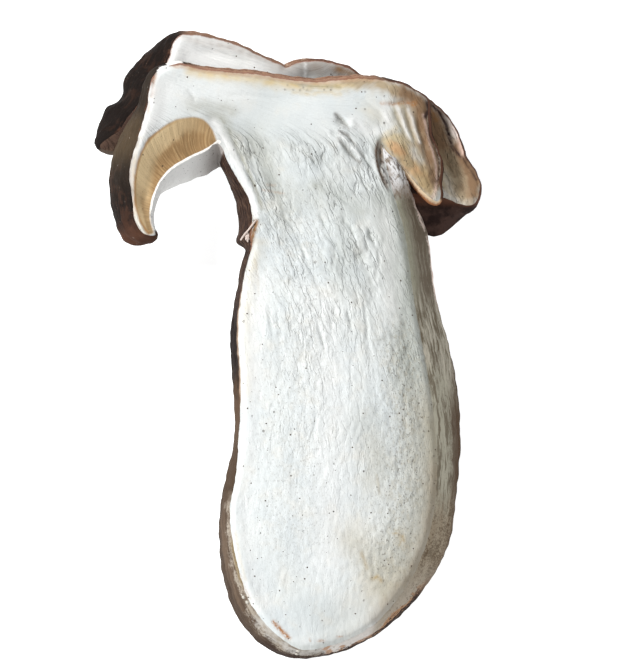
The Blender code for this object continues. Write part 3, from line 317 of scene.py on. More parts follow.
lowerLeaf = {
    "rimSpacing": 0.4, "faceSpacing": 0.4, "backSpacing": 1.3, "wallRows": 12,
    "wallBulge": 0.5, "marginBulge": 0, "marginRoll": 0, "crumpleBulge": 0, "crumpleLift": 0,
    "rimFray": 0.12, "edgeRounding": 0.22, "lipHeight": 0.16,
    "grainHeight": 0.03, "swellHeight": 0.3, "padHeight": 0.06, "flakeHeight": 0.04,
    "lineTop": 0.13, "lineSide": 0.1, "plainTip": 1,
    "wrinkles": [(4, 14, 0.14, 0.2), (2.2, 7, 0.1, 0.28)],
    "stations": [
        ("hidden", [
            (5.3, 23.4, 6, 5.6, 22, 4.8), (-2, 24.6, 6, -1.6, 23.6, 4.6), (-6.8, 27.6, 6, -5.8, 27, 4.4),
            (-10.4, 30.6, 5.6, -9.6, 30, 3.4),
        ]),
        ("pores", [
            (-14.3, 31.8, 5, -14, 31.2, 2.2), (-19.1, 31.6, 4.6, -18.8, 31, 1.6),
            (-23.9, 31.2, 4.4, -23.7, 30.8, 1.5), (-27.6, 30.9, 4, -27.4, 31, 1.6),
            (-29.3, 30.9, 4, -29.3, 31.3, 1.6),
        ]),
        ("cap", [
            (-30.3, 31.7, 4.2, -30.7, 32.5, 1.6), (-28.8, 32.9, 5, -30.7, 34.6, 1.3),
            (-27.2, 34, 5.3, -30, 36.8, 1.1), (-26.1, 36, 5.4, -29.1, 38.6, 1.1),
            (-24.3, 38.3, 5.5, -26.9, 40.2, 1.2), (-22.7, 41.8, 5.8, -26.4, 43.2, 1.4),
            (-20.5, 44, 6, -25.3, 45.1, 1.6), (-19.5, 46.1, 6.2, -23.4, 47.3, 1.7),
            (-18.9, 48.4, 6.4, -20.7, 49.8, 2), (-17.3, 49.9, 6.4, -18.1, 50.8, 2.4),
            (-13.3, 49.7, 6.4, -13.5, 50.4, 2.6), (-8.7, 48.7, 6.3, -8.9, 49.4, 2.6),
            (-4.8, 47, 6.1, -5, 47.5, 2.6), (-1.6, 45.8, 6, -1.8, 46.3, 2.5),
            (-0.4, 45.4, 5.9, -0.6, 46, 2.4), (0.7, 45.9, 6, 0.5, 46.5, 2.4), (3.1, 46.5, 6.2, 3, 47.1, 2.4),
            (6.4, 46.4, 6.2, 6.4, 46.9, 2.4), (9.7, 45.7, 6, 9.7, 46.2, 2.4),
            (12.3, 44.2, 5.8, 12.2, 44.8, 2.4), (16, 42.9, 5.6, 15.9, 43.3, 2.2),
            (19.8, 41.9, 5.5, 19.8, 42.3, 2.2), (23.1, 40.9, 5.5, 23.2, 41.4, 2.2),
            (25.8, 38.8, 5.6, 25.9, 39.1, 2.2), (27.7, 36.1, 5.7, 27.9, 36.5, 2.2),
            (28.9, 33, 5.7, 29.1, 33.3, 2), (29.4, 31.4, 5.7, 29.6, 31.8, 2), (31, 29, 5.8, 31.2, 29.4, 1.8),
            (31.7, 26.6, 5.8, 32, 26.9, 1.8), (31, 24, 5.2, 31.5, 24, 1.8), (28.7, 23.8, 4.8, 30, 22.5, 1.5),
            (26.4, 24.7, 4.8, 28, 20.6, 1.2), (23.6, 25, 4.6, 26, 19.2, 1),
            (21.1, 25.4, 4.6, 23.6, 19.2, 1.4),
        ]),
        ("hidden", [
            (18.6, 24.8, 5.4, 20, 21.2, 4), (13, 24, 5.8, 14, 22.4, 4.6),
        ]),
    ],
    "face": [
        (-12, 45, 5.9), (-4, 42, 5.5), (6, 42, 5.2), (-20, 38, 4.9), (-25, 33.5, 4.3), (14, 39, 4.7),
        (24, 34.5, 4.3), (27, 31, 3.9), (28.3, 27.3, 4.1), (-10, 35, 5.2), (5, 31, 5.2),
    ],
    "back": [
        (-20, 38, -0.4), (-24, 34, 0.3), (-9, 41, 0.6), (5, 40, 0.9), (16, 37, 0.5), (22.5, 31.5, -0.4),
        (26.5, 27, 0.3), (3, 30, 1.2), (-5, 32, 1.4), (12, 29, 1.2),
    ],
    "creases": [
        (0.6, 0.35, 23.4, 40.5, 25, 39.1, 26.1, 37.3, 26.8, 35.2, 27.3, 33.5, 28.3, 32, 29.2, 31.2),
        (0.3, 0.35, 28.6, 31.8, 29.5, 30.8, 30.4, 29.2), (0.3, 1, 3.4, 45.8, 3.2, 43.5, 3.4, 41),
        (0.4, 0.8, -16.6, 47.6, -12, 47, -8, 46.4, -4.4, 44.6), (0.5, 1, 25.2, 34, 26.6, 31, 27.6, 28),
    ],
    "calm": [(3, 0.5, -18, 45, -8, 44, 4, 43)],
    "rugged": [],
    "tints": {
        "cream": [(0.8, 1.3, 25.9, 29.2, 26.4, 27.4, 26.9, 25.8)],
        "olive": [(1.6, 0.6, 27.4, 31.4, 29.2, 28.6, 29.6, 26.2), (1.2, 0.5, -8, 45.6, -4.6, 44.4, -1, 43.4)],
        # painted shade inside the top rim and over the hump
        "grey": [
            (0.8, 0.35, -16.2, 48.8, -12.9, 48.4, -9.7, 47.9, -6.4, 46.6, -3.4, 45.1, -1.4, 44.5),
            (1.9, 1.1, -3, 43.6, 0.6, 44.4, 4.4, 44.8, 8.4, 44.6, 11, 43.6),
        ],
        "tan": [
            (3, 1, 22, 40, 23.8, 38, 24.6, 35.4, 25.2, 33.8),
            (3.6, 1.2, -24.4, 37, -26, 35, -27.4, 33, -29.6, 31.6), (0.3, 0.6, 25.6, 33, 27, 31, 28, 28.6),
            (0.3, 0.5, 27, 32.4, 28.6, 30.2, 29.4, 27.6, 29.6, 25.6),
            (0.6, 0.6, -17.2, 49.2, -9, 48, -4.8, 46.5, -1, 45.1), (0.8, 0.8, 8, 45.4, 10.6, 44.6, 13, 43.4),
            (1.3, 1.2, 28.2, 33.2, 29.2, 31.4, 30.2, 29.4, 30.8, 27.4, 30.6, 25.6),
            (0.9, 0.5, 28.4, 30.6, 29.2, 28.4, 29.2, 26.4), (1.2, 0.3, -3, 45.2, 0.6, 46, 4.4, 46, 8.4, 45.4),
        ],
        "buff": [(3.4, 1, 25.6, 32.4, 27.6, 30.4, 28.8, 28, 29, 26), (2, 1, 24.6, 36, 25.4, 33, 25.6, 30)],
        "pink": [(0.55, 0.9, 24.9, 40, 26.1, 38.9, 27.2, 37.3, 28.1, 35.3, 28.6, 33.8, 29.1, 32.4)],
        # dark lines along the creases, and painted shade in the left wedge and under the upper leaf's lobe
        "umber": [
            (0.24, 1, 23.4, 40.5, 25, 39.1, 26.1, 37.3, 26.8, 35.2, 27.3, 33.5, 28.3, 32),
            (0.16, 0.8, 28.3, 32, 29.5, 30.9, 30.4, 29.4, 31.1, 27.9),
            (3.6, 0.75, -24.4, 37, -26, 35, -27.4, 33, -29.6, 31.6), (1.8, 1.2, 16.5, 29, 19, 27, 21, 25.6),
        ],
        "rust": [(0.3, 0.5, 23.4, 39.6, 24.6, 37.6)],
        # whiter flesh, and painted light over the lower leaf's face, which lies in shade
        "shine": [
            (0.25, 0.7, 2.6, 46, 2.7, 44.6, 2.6, 43.4),
            (3.4, 1.3, -17.6, 46.6, -12, 45.8, -7, 44.2, -4, 43.2),
            (0.5, 0.5, 26.4, 38.6, 27.4, 36.8, 28, 35.2), (0.3, 0.8, 25.6, 26.4, 26.3, 25.4, 28, 24.4),
            (0.75, 0.55, 26.2, 28.8, 26.6, 27.2, 27, 25.6),
        ],
    },
}


# width and length in millimetres of each kind of fold, flake and grain, and the seed of its places
folds = {
    "pads": (3.2, 11, 3), "flakes": (2.6, 6, 37), "grains": (0.8, 1.2, 43), "bumps": (0.9, 1.4, 47),
    "tubeGrains": (0.8, 3, 51), "backPads": (3, 9, 61), "pleats": (1.3, 5, 71), "threads": (0.7, 7, 77),
    "rolls": (1.6, 16, 81),
}
# size in millimetres of each kind of round hill, and the seed of its places
mounds = {
    "patches": (6, 31), "swells": (11, 5), "backSwells": (9, 11), "wallSwells": (2.6, 17),
    "skinLumps": (0.9, 73), "crumples": (0.8, 79), "strokeEdges": (1.1, 87),
    "frontFray": (1.1, 91), "backFray": (1.4, 93), "rimWaves": (0.9, 95),
}
# height in millimetres of the relief on the skins, the tubes, the back and the rim
heights = {
    "capPleats": 0.12, "capLumps": 0.05, "footLumps": 0.12, "stemThreads": 0.1, "stemLumps": 0.05,
    "marginRolls": 0.26, "marginThreads": 0.08, "crumples": 0.4, "wallSwells": 0.16,
    "tubeGrains": 0.05, "backPads": 0.08, "backSwells": 0.15, "rimWaves": 0.08,
}
stemWaists = [(0.85, -14.5, 3.5), (0.35, 12, 6)]  # how much flatter the skin is, at which y, and its reach
strokeSeed, wrinkleSeed = 83, 13


def closedCurve(stations, spacing):  # a smooth closed curve through rows of any width
    p = np.array(stations, float)
    stretches = []
    for a, b, c, d in zip(np.roll(p, 1, 0), p, np.roll(p, -1, 0), np.roll(p, -2, 0)):
        steps = max(1, round(np.linalg.norm((c - b)[:2]) / spacing))
        t = np.arange(steps)[:, None] / steps
        bend = (2 * a - 5 * b + 4 * c - d) * t**2 + (3 * b - a - 3 * c + d) * t**3
        stretches.append(0.5 * (2 * b + (c - a) * t + bend))
    return np.concatenate(stretches)


def thinPlate(points):  # the smooth surface through x, y, z points
    p = np.array(points, float)
    n = len(p)

    def pull(a, b):
        r2 = ((a[:, None, :] - b[None, :, :]) ** 2).sum(-1)
        return r2 * np.log(r2 + 1e-9)

    system = np.zeros((n + 3, n + 3))
    system[:n, :n] = pull(p[:, :2], p[:, :2]) + np.eye(n) * 0.5
    system[:n, n] = system[n, :n] = 1
    system[:n, n + 1 :] = p[:, :2]
    system[n + 1 :, :n] = p[:, :2].T
    weights = np.linalg.solve(system, np.append(p[:, 2], [0, 0, 0]))

    def height(xy):
        return pull(xy, p[:, :2]) @ weights[:n] + weights[n] + xy @ weights[n + 1 :]

    return height


def lineDistance(xy, line, closed=False):
    a = np.array(line, float).reshape(-1, 2)
    b = np.roll(a, -1, 0)
    if not closed:
        a, b = a[:-1], b[:-1]
    nearest = np.full(len(xy), farAway)
    for start, end in zip(a, b):
        run = end - start
        t = np.clip((xy - start) @ run / (run @ run + 1e-12), 0, 1)
        nearest = np.minimum(nearest, np.linalg.norm(xy - start - t[:, None] * run, axis=1))
    return nearest


def inside(xy, outline):  # whether each point is inside a closed outline
    a = np.array(outline, float)
    odd = np.zeros(len(xy), bool)
    for (x0, y0), (x1, y1) in zip(a, np.roll(a, -1, 0)):
        spans = (y0 > xy[:, 1]) != (y1 > xy[:, 1])
        odd ^= spans & (xy[:, 0] < x0 + (x1 - x0) * (xy[:, 1] - y0) / (y1 - y0 + 1e-12))
    return odd


def depthInside(xy, outline):  # the distance to the outline, below 0 outside it
    return lineDistance(xy, outline, closed=True) * np.where(inside(xy, outline), 1, -1)


def outward(loop):  # the level direction out of a closed curve at each of its points
    run = np.roll(loop[:, :2], -1, 0) - np.roll(loop[:, :2], 1, 0)
    out = np.column_stack([-run[:, 1], run[:, 0]])
    return out / np.linalg.norm(out, axis=1)[:, None]


def ease(low, high, x):
    t = np.clip((x - low) / (high - low), 0, 1)
    return t * t * (3 - 2 * t)


def groove(distance, halfWidth):
    return np.exp(-((distance / halfWidth) ** 2))


def hills(places, seed):  # soft random heights from about -1 to 1, with one hill or hollow a unit
    cell = np.floor(places).astype(np.int64)
    part = places - cell
    soft = part**3 * (part * (part * 6 - 15) + 10)

    def corner(dx, dy):  # a direction drawn from the cell's place and the seed
        key = (cell[:, 0] + dx) * 374761393 + (cell[:, 1] + dy) * 668265263 + seed * 97463477
        key = (key ^ (key >> 13)) * 1274126177 & 0xFFFFFFFF
        turn = (key ^ (key >> 16)) % 65536 * (2 * math.pi / 65536)
        return np.cos(turn) * (part[:, 0] - dx) + np.sin(turn) * (part[:, 1] - dy)

    low = corner(0, 0) * (1 - soft[:, 0]) + corner(1, 0) * soft[:, 0]
    high = corner(0, 1) * (1 - soft[:, 0]) + corner(1, 1) * soft[:, 0]
    return 1.5 * (low * (1 - soft[:, 1]) + high * soft[:, 1])


def mound(places, kind):
    size, seed = mounds[kind]
    return hills(places / size, seed)


def drawnOut(across, along, width, length):
    return np.column_stack([across / width, along / length])


def ripples(across, along, width, length, seed):  # soft folds from about -1 to 1
    return hills(drawnOut(across, along, width, length), seed)


def ridges(across, along, width, length, seed):  # long sharp-backed folds from -1 to 1
    bent = across + 0.35 * width * ripples(across, along, 3 * width, 3 * width, seed + 1)
    return 1 - 2.6 * np.abs(ripples(bent, along, width, length, seed))


def cracks(across, along, width, length, opening, seed):  # thin creases, 1 along the bottom of each
    places = drawnOut(across, along, width, length)
    bent = places + 0.4 * np.column_stack([hills(places * 1.4, seed + 1), hills(places * 1.4, seed + 2)])
    broken = ease(-0.45, 0.15, hills(places * 0.8 + 9, seed + 3))
    return broken * np.exp(-((hills(bent, seed) / opening) ** 2))


def scales(across, along, width, length, seed):  # flakes that rise slowly and drop at one edge, 0 to 1
    part = 2.4 * ripples(across, along, width, length, seed) % 1
    return np.minimum(part / 0.78, (1 - part) / 0.22)


def flowing(line, passes, count=60):  # an even, smooth line along the points
    p = np.array(line, float)
    reach = np.append(0, np.cumsum(np.linalg.norm(np.diff(p, axis=0), axis=1)))
    places = np.linspace(0, reach[-1], count)
    p = np.column_stack([np.interp(places, reach, p[:, k]) for k in range(p.shape[1])])
    for _ in range(passes):
        p[1:-1] = (p[:-2] + p[2:] + 2 * p[1:-1]) / 4
    return p


def crease(xy, line, halfWidth):  # a groove along a line, shallow at both ends
    a = np.array(line, float).reshape(-1, 2)
    sizes = np.linalg.norm(np.diff(a, axis=0), axis=1)
    nearest, place = np.full(len(xy), farAway), np.zeros(len(xy))
    for start, end, size, passed in zip(a[:-1], a[1:], sizes, np.cumsum(sizes) - sizes):
        run = (end - start) / size
        t = np.clip((xy - start) @ run, 0, size)
        gap = np.linalg.norm(xy - start - t[:, None] * run, axis=1)
        place = np.where(gap < nearest, passed + t, place)
        nearest = np.minimum(nearest, gap)
    taper = 0.35 * sizes.sum()
    return groove(nearest, halfWidth) * ease(0, taper, place) * ease(0, taper, sizes.sum() - place)


def fibreCourse(xy):  # fibres stand upright in the stem, lean at the neck and lie flat under the cap
    x, y = xy[:, 0], xy[:, 1]
    lean = frontSlab["fibreLean"] * ((np.clip(y, -15, 12) + 15) ** 2 + 54 * np.maximum(y - 12, 0))
    low = np.clip(y, 31, 38)
    spread = (low - 31) ** 2 + 2 * (low - 31) * np.maximum(y - low, 0)
    return x + lean + frontSlab["fibreSpread"] * spread * ease(16, 2, x), y


def tubeCourse(xy):  # the place along the tube layer, the same from the flesh to the pores
    known = []
    for edge in (tubeLayer["byFlesh"], tubeLayer["byPores"]):
        share = np.append(0, np.cumsum(np.linalg.norm(np.diff(edge, axis=0), axis=1)))
        known += [(x, y, s * tubeLayer["runLength"] / share[-1]) for (x, y), s in zip(edge, share)]
    return thinPlate(known)(xy)


def edgeProfile(facts, fromRim):  # a rounded edge with a low lip just inside it
    lip = ease(0.2, 1.0, fromRim) * (1 - ease(1.2, 3.0, fromRim))
    return facts["lipHeight"] * lip - facts["edgeRounding"] * (1 - ease(0, 0.8, fromRim))


def foldedFlesh(facts, xy, fromRim):  # wrinkles that follow the fibres, then swells and creases
    across, along = fibreCourse(xy)
    x, y = xy[:, 0], xy[:, 1]
    rough = 0.1 + 0.25 * ease(-34, -6, y) + 0.25 * ease(-6, 8, y) + 0.4 * ease(6, 18, y)  # most at the neck
    rough *= 1 - 0.7 * ease(31, 37, y) * ease(15, 9, x)
    for halfWidth, strength, *line in facts["calm"]:
        rough *= 1 - strength * groove(lineDistance(xy, line), halfWidth)
    patchy = rough * (0.45 + 0.55 * ease(-0.4, 0.3, mound(xy, "patches")))
    # how much shade the materials paint along the bottom of each crease
    crack = np.zeros(len(xy))
    fold = rough * facts["padHeight"] * ridges(across, along, *folds["pads"])
    for k, (width, length, depth, opening) in enumerate(facts["wrinkles"]):
        cut = patchy * cracks(across, along, width, length, opening, wrinkleSeed + 10 * k)
        fold -= depth * cut
        crack = np.maximum(crack, cut * (0.6 + 0.2 * k))
    fold += facts["flakeHeight"] * patchy * scales(across, along, *folds["flakes"])
    fold += facts["grainHeight"] * ripples(across, along, *folds["grains"])
    for halfWidth, height, *line in facts["rugged"]:
        bumps = ripples(across, along, *folds["bumps"])
        fold += height * bumps * groove(lineDistance(xy, line), halfWidth)
    fold *= ease(0.1, 1.6, fromRim)
    for depth, halfWidth, *line in facts["creases"]:
        fold -= depth * crease(xy, line, halfWidth)
    swell = ease(0, 2, fromRim) * facts["swellHeight"] * mound(xy, "swells")
    return fold + swell, {"fold": fold, "crack": crack, "rough": patchy, "across": across, "along": along}


def frontFace(xy, fromRim):  # the upper cut face: its relief, and how deep each point is in the tubes
    z, facts = foldedFlesh(frontSlab, xy, fromRim)
    z += edgeProfile(frontSlab, fromRim)
    lobeDepth = depthInside(xy, closedCurve(tubeLayer["lobe"], 0.6))
    z -= frontSlab["lobeTubeRecess"] * ease(-0.4, 0.6, lobeDepth)
    fleshSide, poreSide = flowing(tubeLayer["byFlesh"], 12), flowing(tubeLayer["byPores"], 12)
    depth = depthInside(xy, np.concatenate([fleshSide, poreSide[::-1]]))
    course = tubeCourse(xy)
    inTubes = ease(-0.3, 0.5, depth)
    poreEdge = lineDistance(xy, poreSide)
    byPores = groove(poreEdge, 1.0)
    fleshEdge = lineDistance(xy, fleshSide)
    ribs = frontSlab["tubeRibHeight"] * np.cos(2 * math.pi * course / frontSlab["tubeRibPitch"])
    sunk = -frontSlab["tubeRecess"] * ease(0, 3.0, fleshEdge) * (1 - byPores) + ribs
    sunk += heights["tubeGrains"] * ripples(course, fleshEdge, *folds["tubeGrains"])
    z = z * (1 - inTubes) + inTubes * (sunk - frontSlab["edgeRounding"] * byPores)
    facts.update(tubes=depth, course=course, poreEdge=poreEdge, fleshEdge=fleshEdge, lobe=lobeDepth)
    return z, facts


def lowerFace(xy, fromRim):
    z, facts = foldedFlesh(lowerLeaf, xy, fromRim)
    return z + edgeProfile(lowerLeaf, fromRim), facts


def backFace(xy, fromRim):
    across, along = fibreCourse(xy)
    fold = heights["backPads"] * ridges(across, along, *folds["backPads"]) * ease(0, 2, fromRim)
    swell = heights["backSwells"] * ease(0, 3, fromRim) * mound(xy, "backSwells")
    return fold + swell, {"fold": fold, "across": across, "along": along}


def lattice(low, high, step):  # points in rows, each row half a step along from the last
    rows = np.arange(low[1], high[1], step * 0.866)
    x, y = np.meshgrid(np.arange(low[0], high[0], step), rows)
    x = x + (np.arange(len(rows)) % 2)[:, None] * step / 2
    return np.column_stack([x.ravel(), y.ravel()])


def nearestRim(rim, xy):  # how far each point is from the rim, and from which of its points
    tree = KDTree(len(rim))
    for i, p in enumerate(rim):
        tree.insert((p[0], p[1], 0), i)
    tree.balance()
    found = [tree.find((x, y, 0)) for x, y in xy]
    return np.array([f[2] for f in found]), np.array([f[1] for f in found])


def cutFace(rim, spacing, height, shape):  # a cut face meshed inside its rim, with its relief
    flatRim, count = rim[:, :2], len(rim)
    inner = lattice(flatRim.min(0), flatRim.max(0), spacing)
    inner = inner[inside(inner, flatRim[::2])]
    inner = inner[nearestRim(flatRim, inner)[0] > spacing * 0.5]
    inner = inner[inside(inner, flatRim)]
    gap, nearest = nearestRim(flatRim, inner)
    flat = np.concatenate([flatRim, inner])
    edges = [(i, (i + 1) % count) for i in range(count)]
    made = delaunay_2d_cdt([Vector(p) for p in flat], edges, [], 1, 1e-7)
    given = np.array([sources[0] for sources in made[3]])
    gap = np.append(np.zeros(count), gap)
    relief, facts = shape(flat, gap)
    z = height(flat) + relief
    z[:count] = rim[:, 2]
    facts.update(gap=gap, nearest=np.append(np.arange(count), nearest))
    return np.column_stack([flat, z]), given[np.array(made[2])], facts


def wallSkin(front, back, kinds, facts):  # rings of points from rim to rim, with the skin's own relief
    out = outward(front)
    along = np.append(0, np.cumsum(np.linalg.norm(np.diff(front[:, :2], axis=0), axis=1)))
    depth = np.linalg.norm(back - front, axis=1)
    y = front[:, 1]
    slim = 1 - kinds["stem"] * sum(share * groove(y - waist, reach) for share, waist, reach in stemWaists)
    slim -= kinds["margin"] * 0.6 * ease(-32, -42, y)
    full = 0.8 - 0.25 * kinds["margin"] - 0.4 * kinds["crumple"]
    rings = []
    for k in range(1, facts["wallRows"]):
        t = k / facts["wallRows"]
        arch = math.sin(math.pi * t)
        place = front + (back - front) * t
        down = np.column_stack([along, depth * t])
        pleat, thread, roll = (ridges(down[:, 1], down[:, 0], *folds[name])
                               for name in ("pleats", "threads", "rolls"))
        lumps = mound(down, "skinLumps")
        rise = kinds["cap"] * (heights["capPleats"] * pleat + heights["capLumps"] * lumps)
        rise += kinds["foot"] * heights["footLumps"] * lumps
        rise += kinds["stem"] * (heights["stemThreads"] * thread + heights["stemLumps"] * lumps)
        rolls = heights["marginRolls"] * roll * ease(12, 4, place[:, 1])
        rise += kinds["margin"] * (rolls + heights["marginThreads"] * thread)
        rise += kinds["crumple"] * (facts["crumpleBulge"] + heights["crumples"] * mound(down, "crumples"))
        size, seed = mounds["wallSwells"]
        rise += heights["wallSwells"] * hills(place[:, :2] / size + 3 * t, seed)
        rise += facts["marginBulge"] * kinds["margin"]
        push = (facts["wallBulge"] + rise) * slim * arch**full
        place[:, 2] += facts["crumpleLift"] * kinds["crumple"] * arch**0.7 * (1 - 0.4 * t)
        place[:, :2] += out * push[:, None]
        rings.append(place)
    return rings, along, depth


def softened(values, reach):  # a round average along a closed loop
    return sum(np.roll(values, k) for k in range(-reach, reach + 1)) / (2 * reach + 1)


def tintWeights(facts, xy):  # how much of each tint lies at each point, with uneven edges
    weights = {}
    for tint, strokes in facts["tints"].items():
        weight = np.zeros(len(xy))
        for halfWidth, strength, *line in strokes:
            broken = 0.8 + 0.35 * min(1, 1 / halfWidth) * hills(xy / (halfWidth * 1.6), strokeSeed)
            distance = lineDistance(xy, line) * (1 + 0.3 * mound(xy, "strokeEdges"))
            weight = np.maximum(weight, strength * broken * groove(distance, halfWidth))
        weights[tint] = np.clip(weight, 0, 1)
    return weights


def makeRims(facts):  # the front and the back rim as close points, with the share of each skin at each point
    rows, names = [], []
    for kind, stations in facts["stations"]:
        rows += stations
        names += [kind] * len(stations)
    every = ("cap", "pores", "foot", "margin", "stem", "hidden")
    oneHot = np.array([[float(name == kind) for kind in every] for name in names])
    loop = closedCurve(np.hstack([np.array(rows), oneHot]), facts["rimSpacing"])
    front, back = loop[:, :3].copy(), loop[:, 3:6].copy()
    kinds = {kind: np.clip(softened(loop[:, 6 + i], 2), 0, 1) for i, kind in enumerate(every)}
    neck = groove(front[:, 1] - 28, 4.5)
    kinds["crumple"] = kinds["margin"] * neck * ease(18, 25, front[:, 1])
    kinds["margin"] = kinds["margin"] * (1 - kinds["crumple"])
    out = outward(front)
    front[:, :2] += out * (facts["rimFray"] * mound(front[:, :2], "frontFray"))[:, None]
    back[:, :2] += out * (1.3 * facts["rimFray"] * mound(back[:, :2], "backFray"))[:, None]
    return rows, front, back, kinds


def pointValues(facts, kinds, points, cuts, rings, along, depth):  # what the materials read at each point
    away = {"tubes": -9.0, "lobe": -9.0, "poreEdge": 9.0, "fleshEdge": 9.0}
    skins = ("cap", "pores", "foot", "margin", "stem", "crumple")
    values = {name: np.full(len(points), away.get(name, 0.0)) for name in (
        "fold", "crack", "rough", "across", "along", "gap", "tubes", "course", "poreEdge", "fleshEdge",
        "lobe", "share", "wallRun", "wallDown", *skins, *frontSlab["tints"])}
    for found, index in cuts:
        for name, value in found.items():
            if name in values:
                values[name][index] = value
        for name in skins:
            values[name][index] = kinds[name][found["nearest"]]
    upper = cuts[0][1]
    for name, value in tintWeights(facts, points[upper, :2]).items():
        values[name][upper] = value
    for k, ring in enumerate(rings):
        share = k / (len(rings) - 1)
        values["share"][ring], values["wallRun"][ring], values["wallDown"][ring] = share, along, depth * share
        for name in skins:
            values[name][ring] = kinds[name]
    return values


def makeSlab(facts, face):  # one leaf as a closed skin: its two cut faces and the wall between them
    rows, front, back, kinds = makeRims(facts)
    frontHeight = thinPlate([s[:3] for s in rows] + facts["face"])
    backHeight = thinPlate([s[3:] for s in rows] + facts["back"])
    front[:, 2] += -facts["edgeRounding"] + heights["rimWaves"] * mound(front[:, :2], "rimWaves")
    roll = facts["marginRoll"] * kinds["margin"] * (0.2 + 0.8 * ease(-46, -32, front[:, 1]))
    front[:, 2] -= roll
    top, topFaces, topFacts = cutFace(front, facts["faceSpacing"], frontHeight, face)
    rolled = roll[topFacts["nearest"]] * (1 - ease(-0.6, 4.4, topFacts["gap"]))
    top[len(front) :, 2] -= rolled[len(front) :]
    bottom, bottomFaces, bottomFacts = cutFace(back, facts["backSpacing"], backHeight, backFace)
    bottom[:, 2] = np.maximum(bottom[:, 2], 0)
    rings, along, depth = wallSkin(front, back, kinds, facts)

    # the rings of the wall join the rim of the top, which comes first, to the rim of the bottom
    around, topCount = np.arange(len(front)), len(top)
    starts = [0] + [topCount + k * len(front) for k in range(len(rings) + 1)]
    after = (around + 1) % len(front)
    quads = [np.column_stack([a + around, a + after, b + after, b + around])
             for a, b in zip(starts, starts[1:])]
    points = np.concatenate([top, *rings, bottom])
    bottomIndex = starts[-1] + np.arange(len(bottom))
    faces = [topFaces.tolist(), np.concatenate(quads).tolist(), bottomIndex[bottomFaces[:, ::-1]].tolist()]
    cuts = ((topFacts, np.arange(topCount)), (bottomFacts, bottomIndex))
    ringPlaces = [start + around for start in starts]
    return points, faces, pointValues(facts, kinds, points, cuts, ringPlaces, along, depth)


def writeValues(mesh, name, values):
    mesh.attributes.new(name, "FLOAT", "POINT").data.foreach_set("value", values.astype(np.float32))


def addObject(name, data):
    obj = bpy.data.objects.new(name, data)
    bpy.context.scene.collection.objects.link(obj)
    return obj


sharpAngle = 58


def meshOf(name, points, faces, slots, values, materials):
    mesh = bpy.data.meshes.new(name)
    mesh.from_pydata(((points - middle) * mm).tolist(), [], [f for group in faces for f in group])
    for material in materials:
        mesh.materials.append(material)
    mesh.polygons.foreach_set("material_index", np.array(slots, np.int32))
    for key, value in values.items():
        writeValues(mesh, key, value)
    mesh.validate()
    mesh.shade_smooth()
    mesh.set_sharp_from_angle(angle=math.radians(sharpAngle))
    rolled = values["margin"] > 0.4  # the margin rolls over softly, so it has no sharp edge
    for edge in mesh.edges:
        if edge.use_edge_sharp and rolled[edge.vertices[0]]:
            edge.use_edge_sharp = False
    return addObject(name, mesh)


def tone(code):  # a screen colour as the shader's own values
    parts = [int(code[i : i + 2], 16) / 255 for i in (0, 2, 4)]
    return (*(c / 12.92 if c <= 0.04045 else ((c + 0.055) / 1.055) ** 2.4 for c in parts), 1)


def feed(tree, slot, value):  # links a socket or a Flow, and sets anything else
    value = getattr(value, "socket", value)
    if isinstance(value, bpy.types.NodeSocket):
        tree.links.new(value, slot)
    else:
        slot.default_value = value


def addNode(tree, kind, settings=None, inputs=None):  # settings first, then its sockets' values or links
    node = tree.nodes.new(kind)
    for key, value in (settings or {}).items():
        if key == "stops":
            for place, colour in value[2:]:  # a new ramp has two stops already
                node.color_ramp.elements.new(place)
            for stop, (place, colour) in zip(node.color_ramp.elements, sorted(value)):
                stop.position, stop.color = place, colour
        else:
            setattr(node, key, value)
    for key, value in (inputs or {}).items():
        feed(tree, node.inputs[key], value)
    return node


class Flow:  # one value inside a node tree: arithmetic on it adds Math nodes
    def __init__(self, tree, socket):
        self.tree, self.socket = tree, socket

    def math(self, operation, *others):
        values = dict(enumerate((self, *others)))
        node = addNode(self.tree, "ShaderNodeMath", {"operation": operation}, values)
        return Flow(self.tree, node.outputs[0])

    def __rsub__(self, other):
        return self.math("MULTIPLY", -1).math("ADD", other)

    __add__ = __radd__ = lambda self, other: self.math("ADD", other)
    __sub__ = lambda self, other: self.math("SUBTRACT", other)
    __mul__ = __rmul__ = lambda self, other: self.math("MULTIPLY", other)
    __truediv__ = lambda self, other: self.math("DIVIDE", other)
    __pow__ = lambda self, other: self.math("POWER", other)
    over = lambda self, other: self.math("MAXIMUM", other)
    under = lambda self, other: self.math("MINIMUM", other)

    def rise(self, low, high):  # 0 at low and 1 at high, eased between
        turned = float(low > high)
        inputs = {"Value": self, "From Min": min(low, high), "From Max": max(low, high), "To Min": turned,
                  "To Max": 1 - turned}
        node = addNode(self.tree, "ShaderNodeMapRange", {"interpolation_type": "SMOOTHSTEP"}, inputs)
        return Flow(self.tree, node.outputs["Result"])


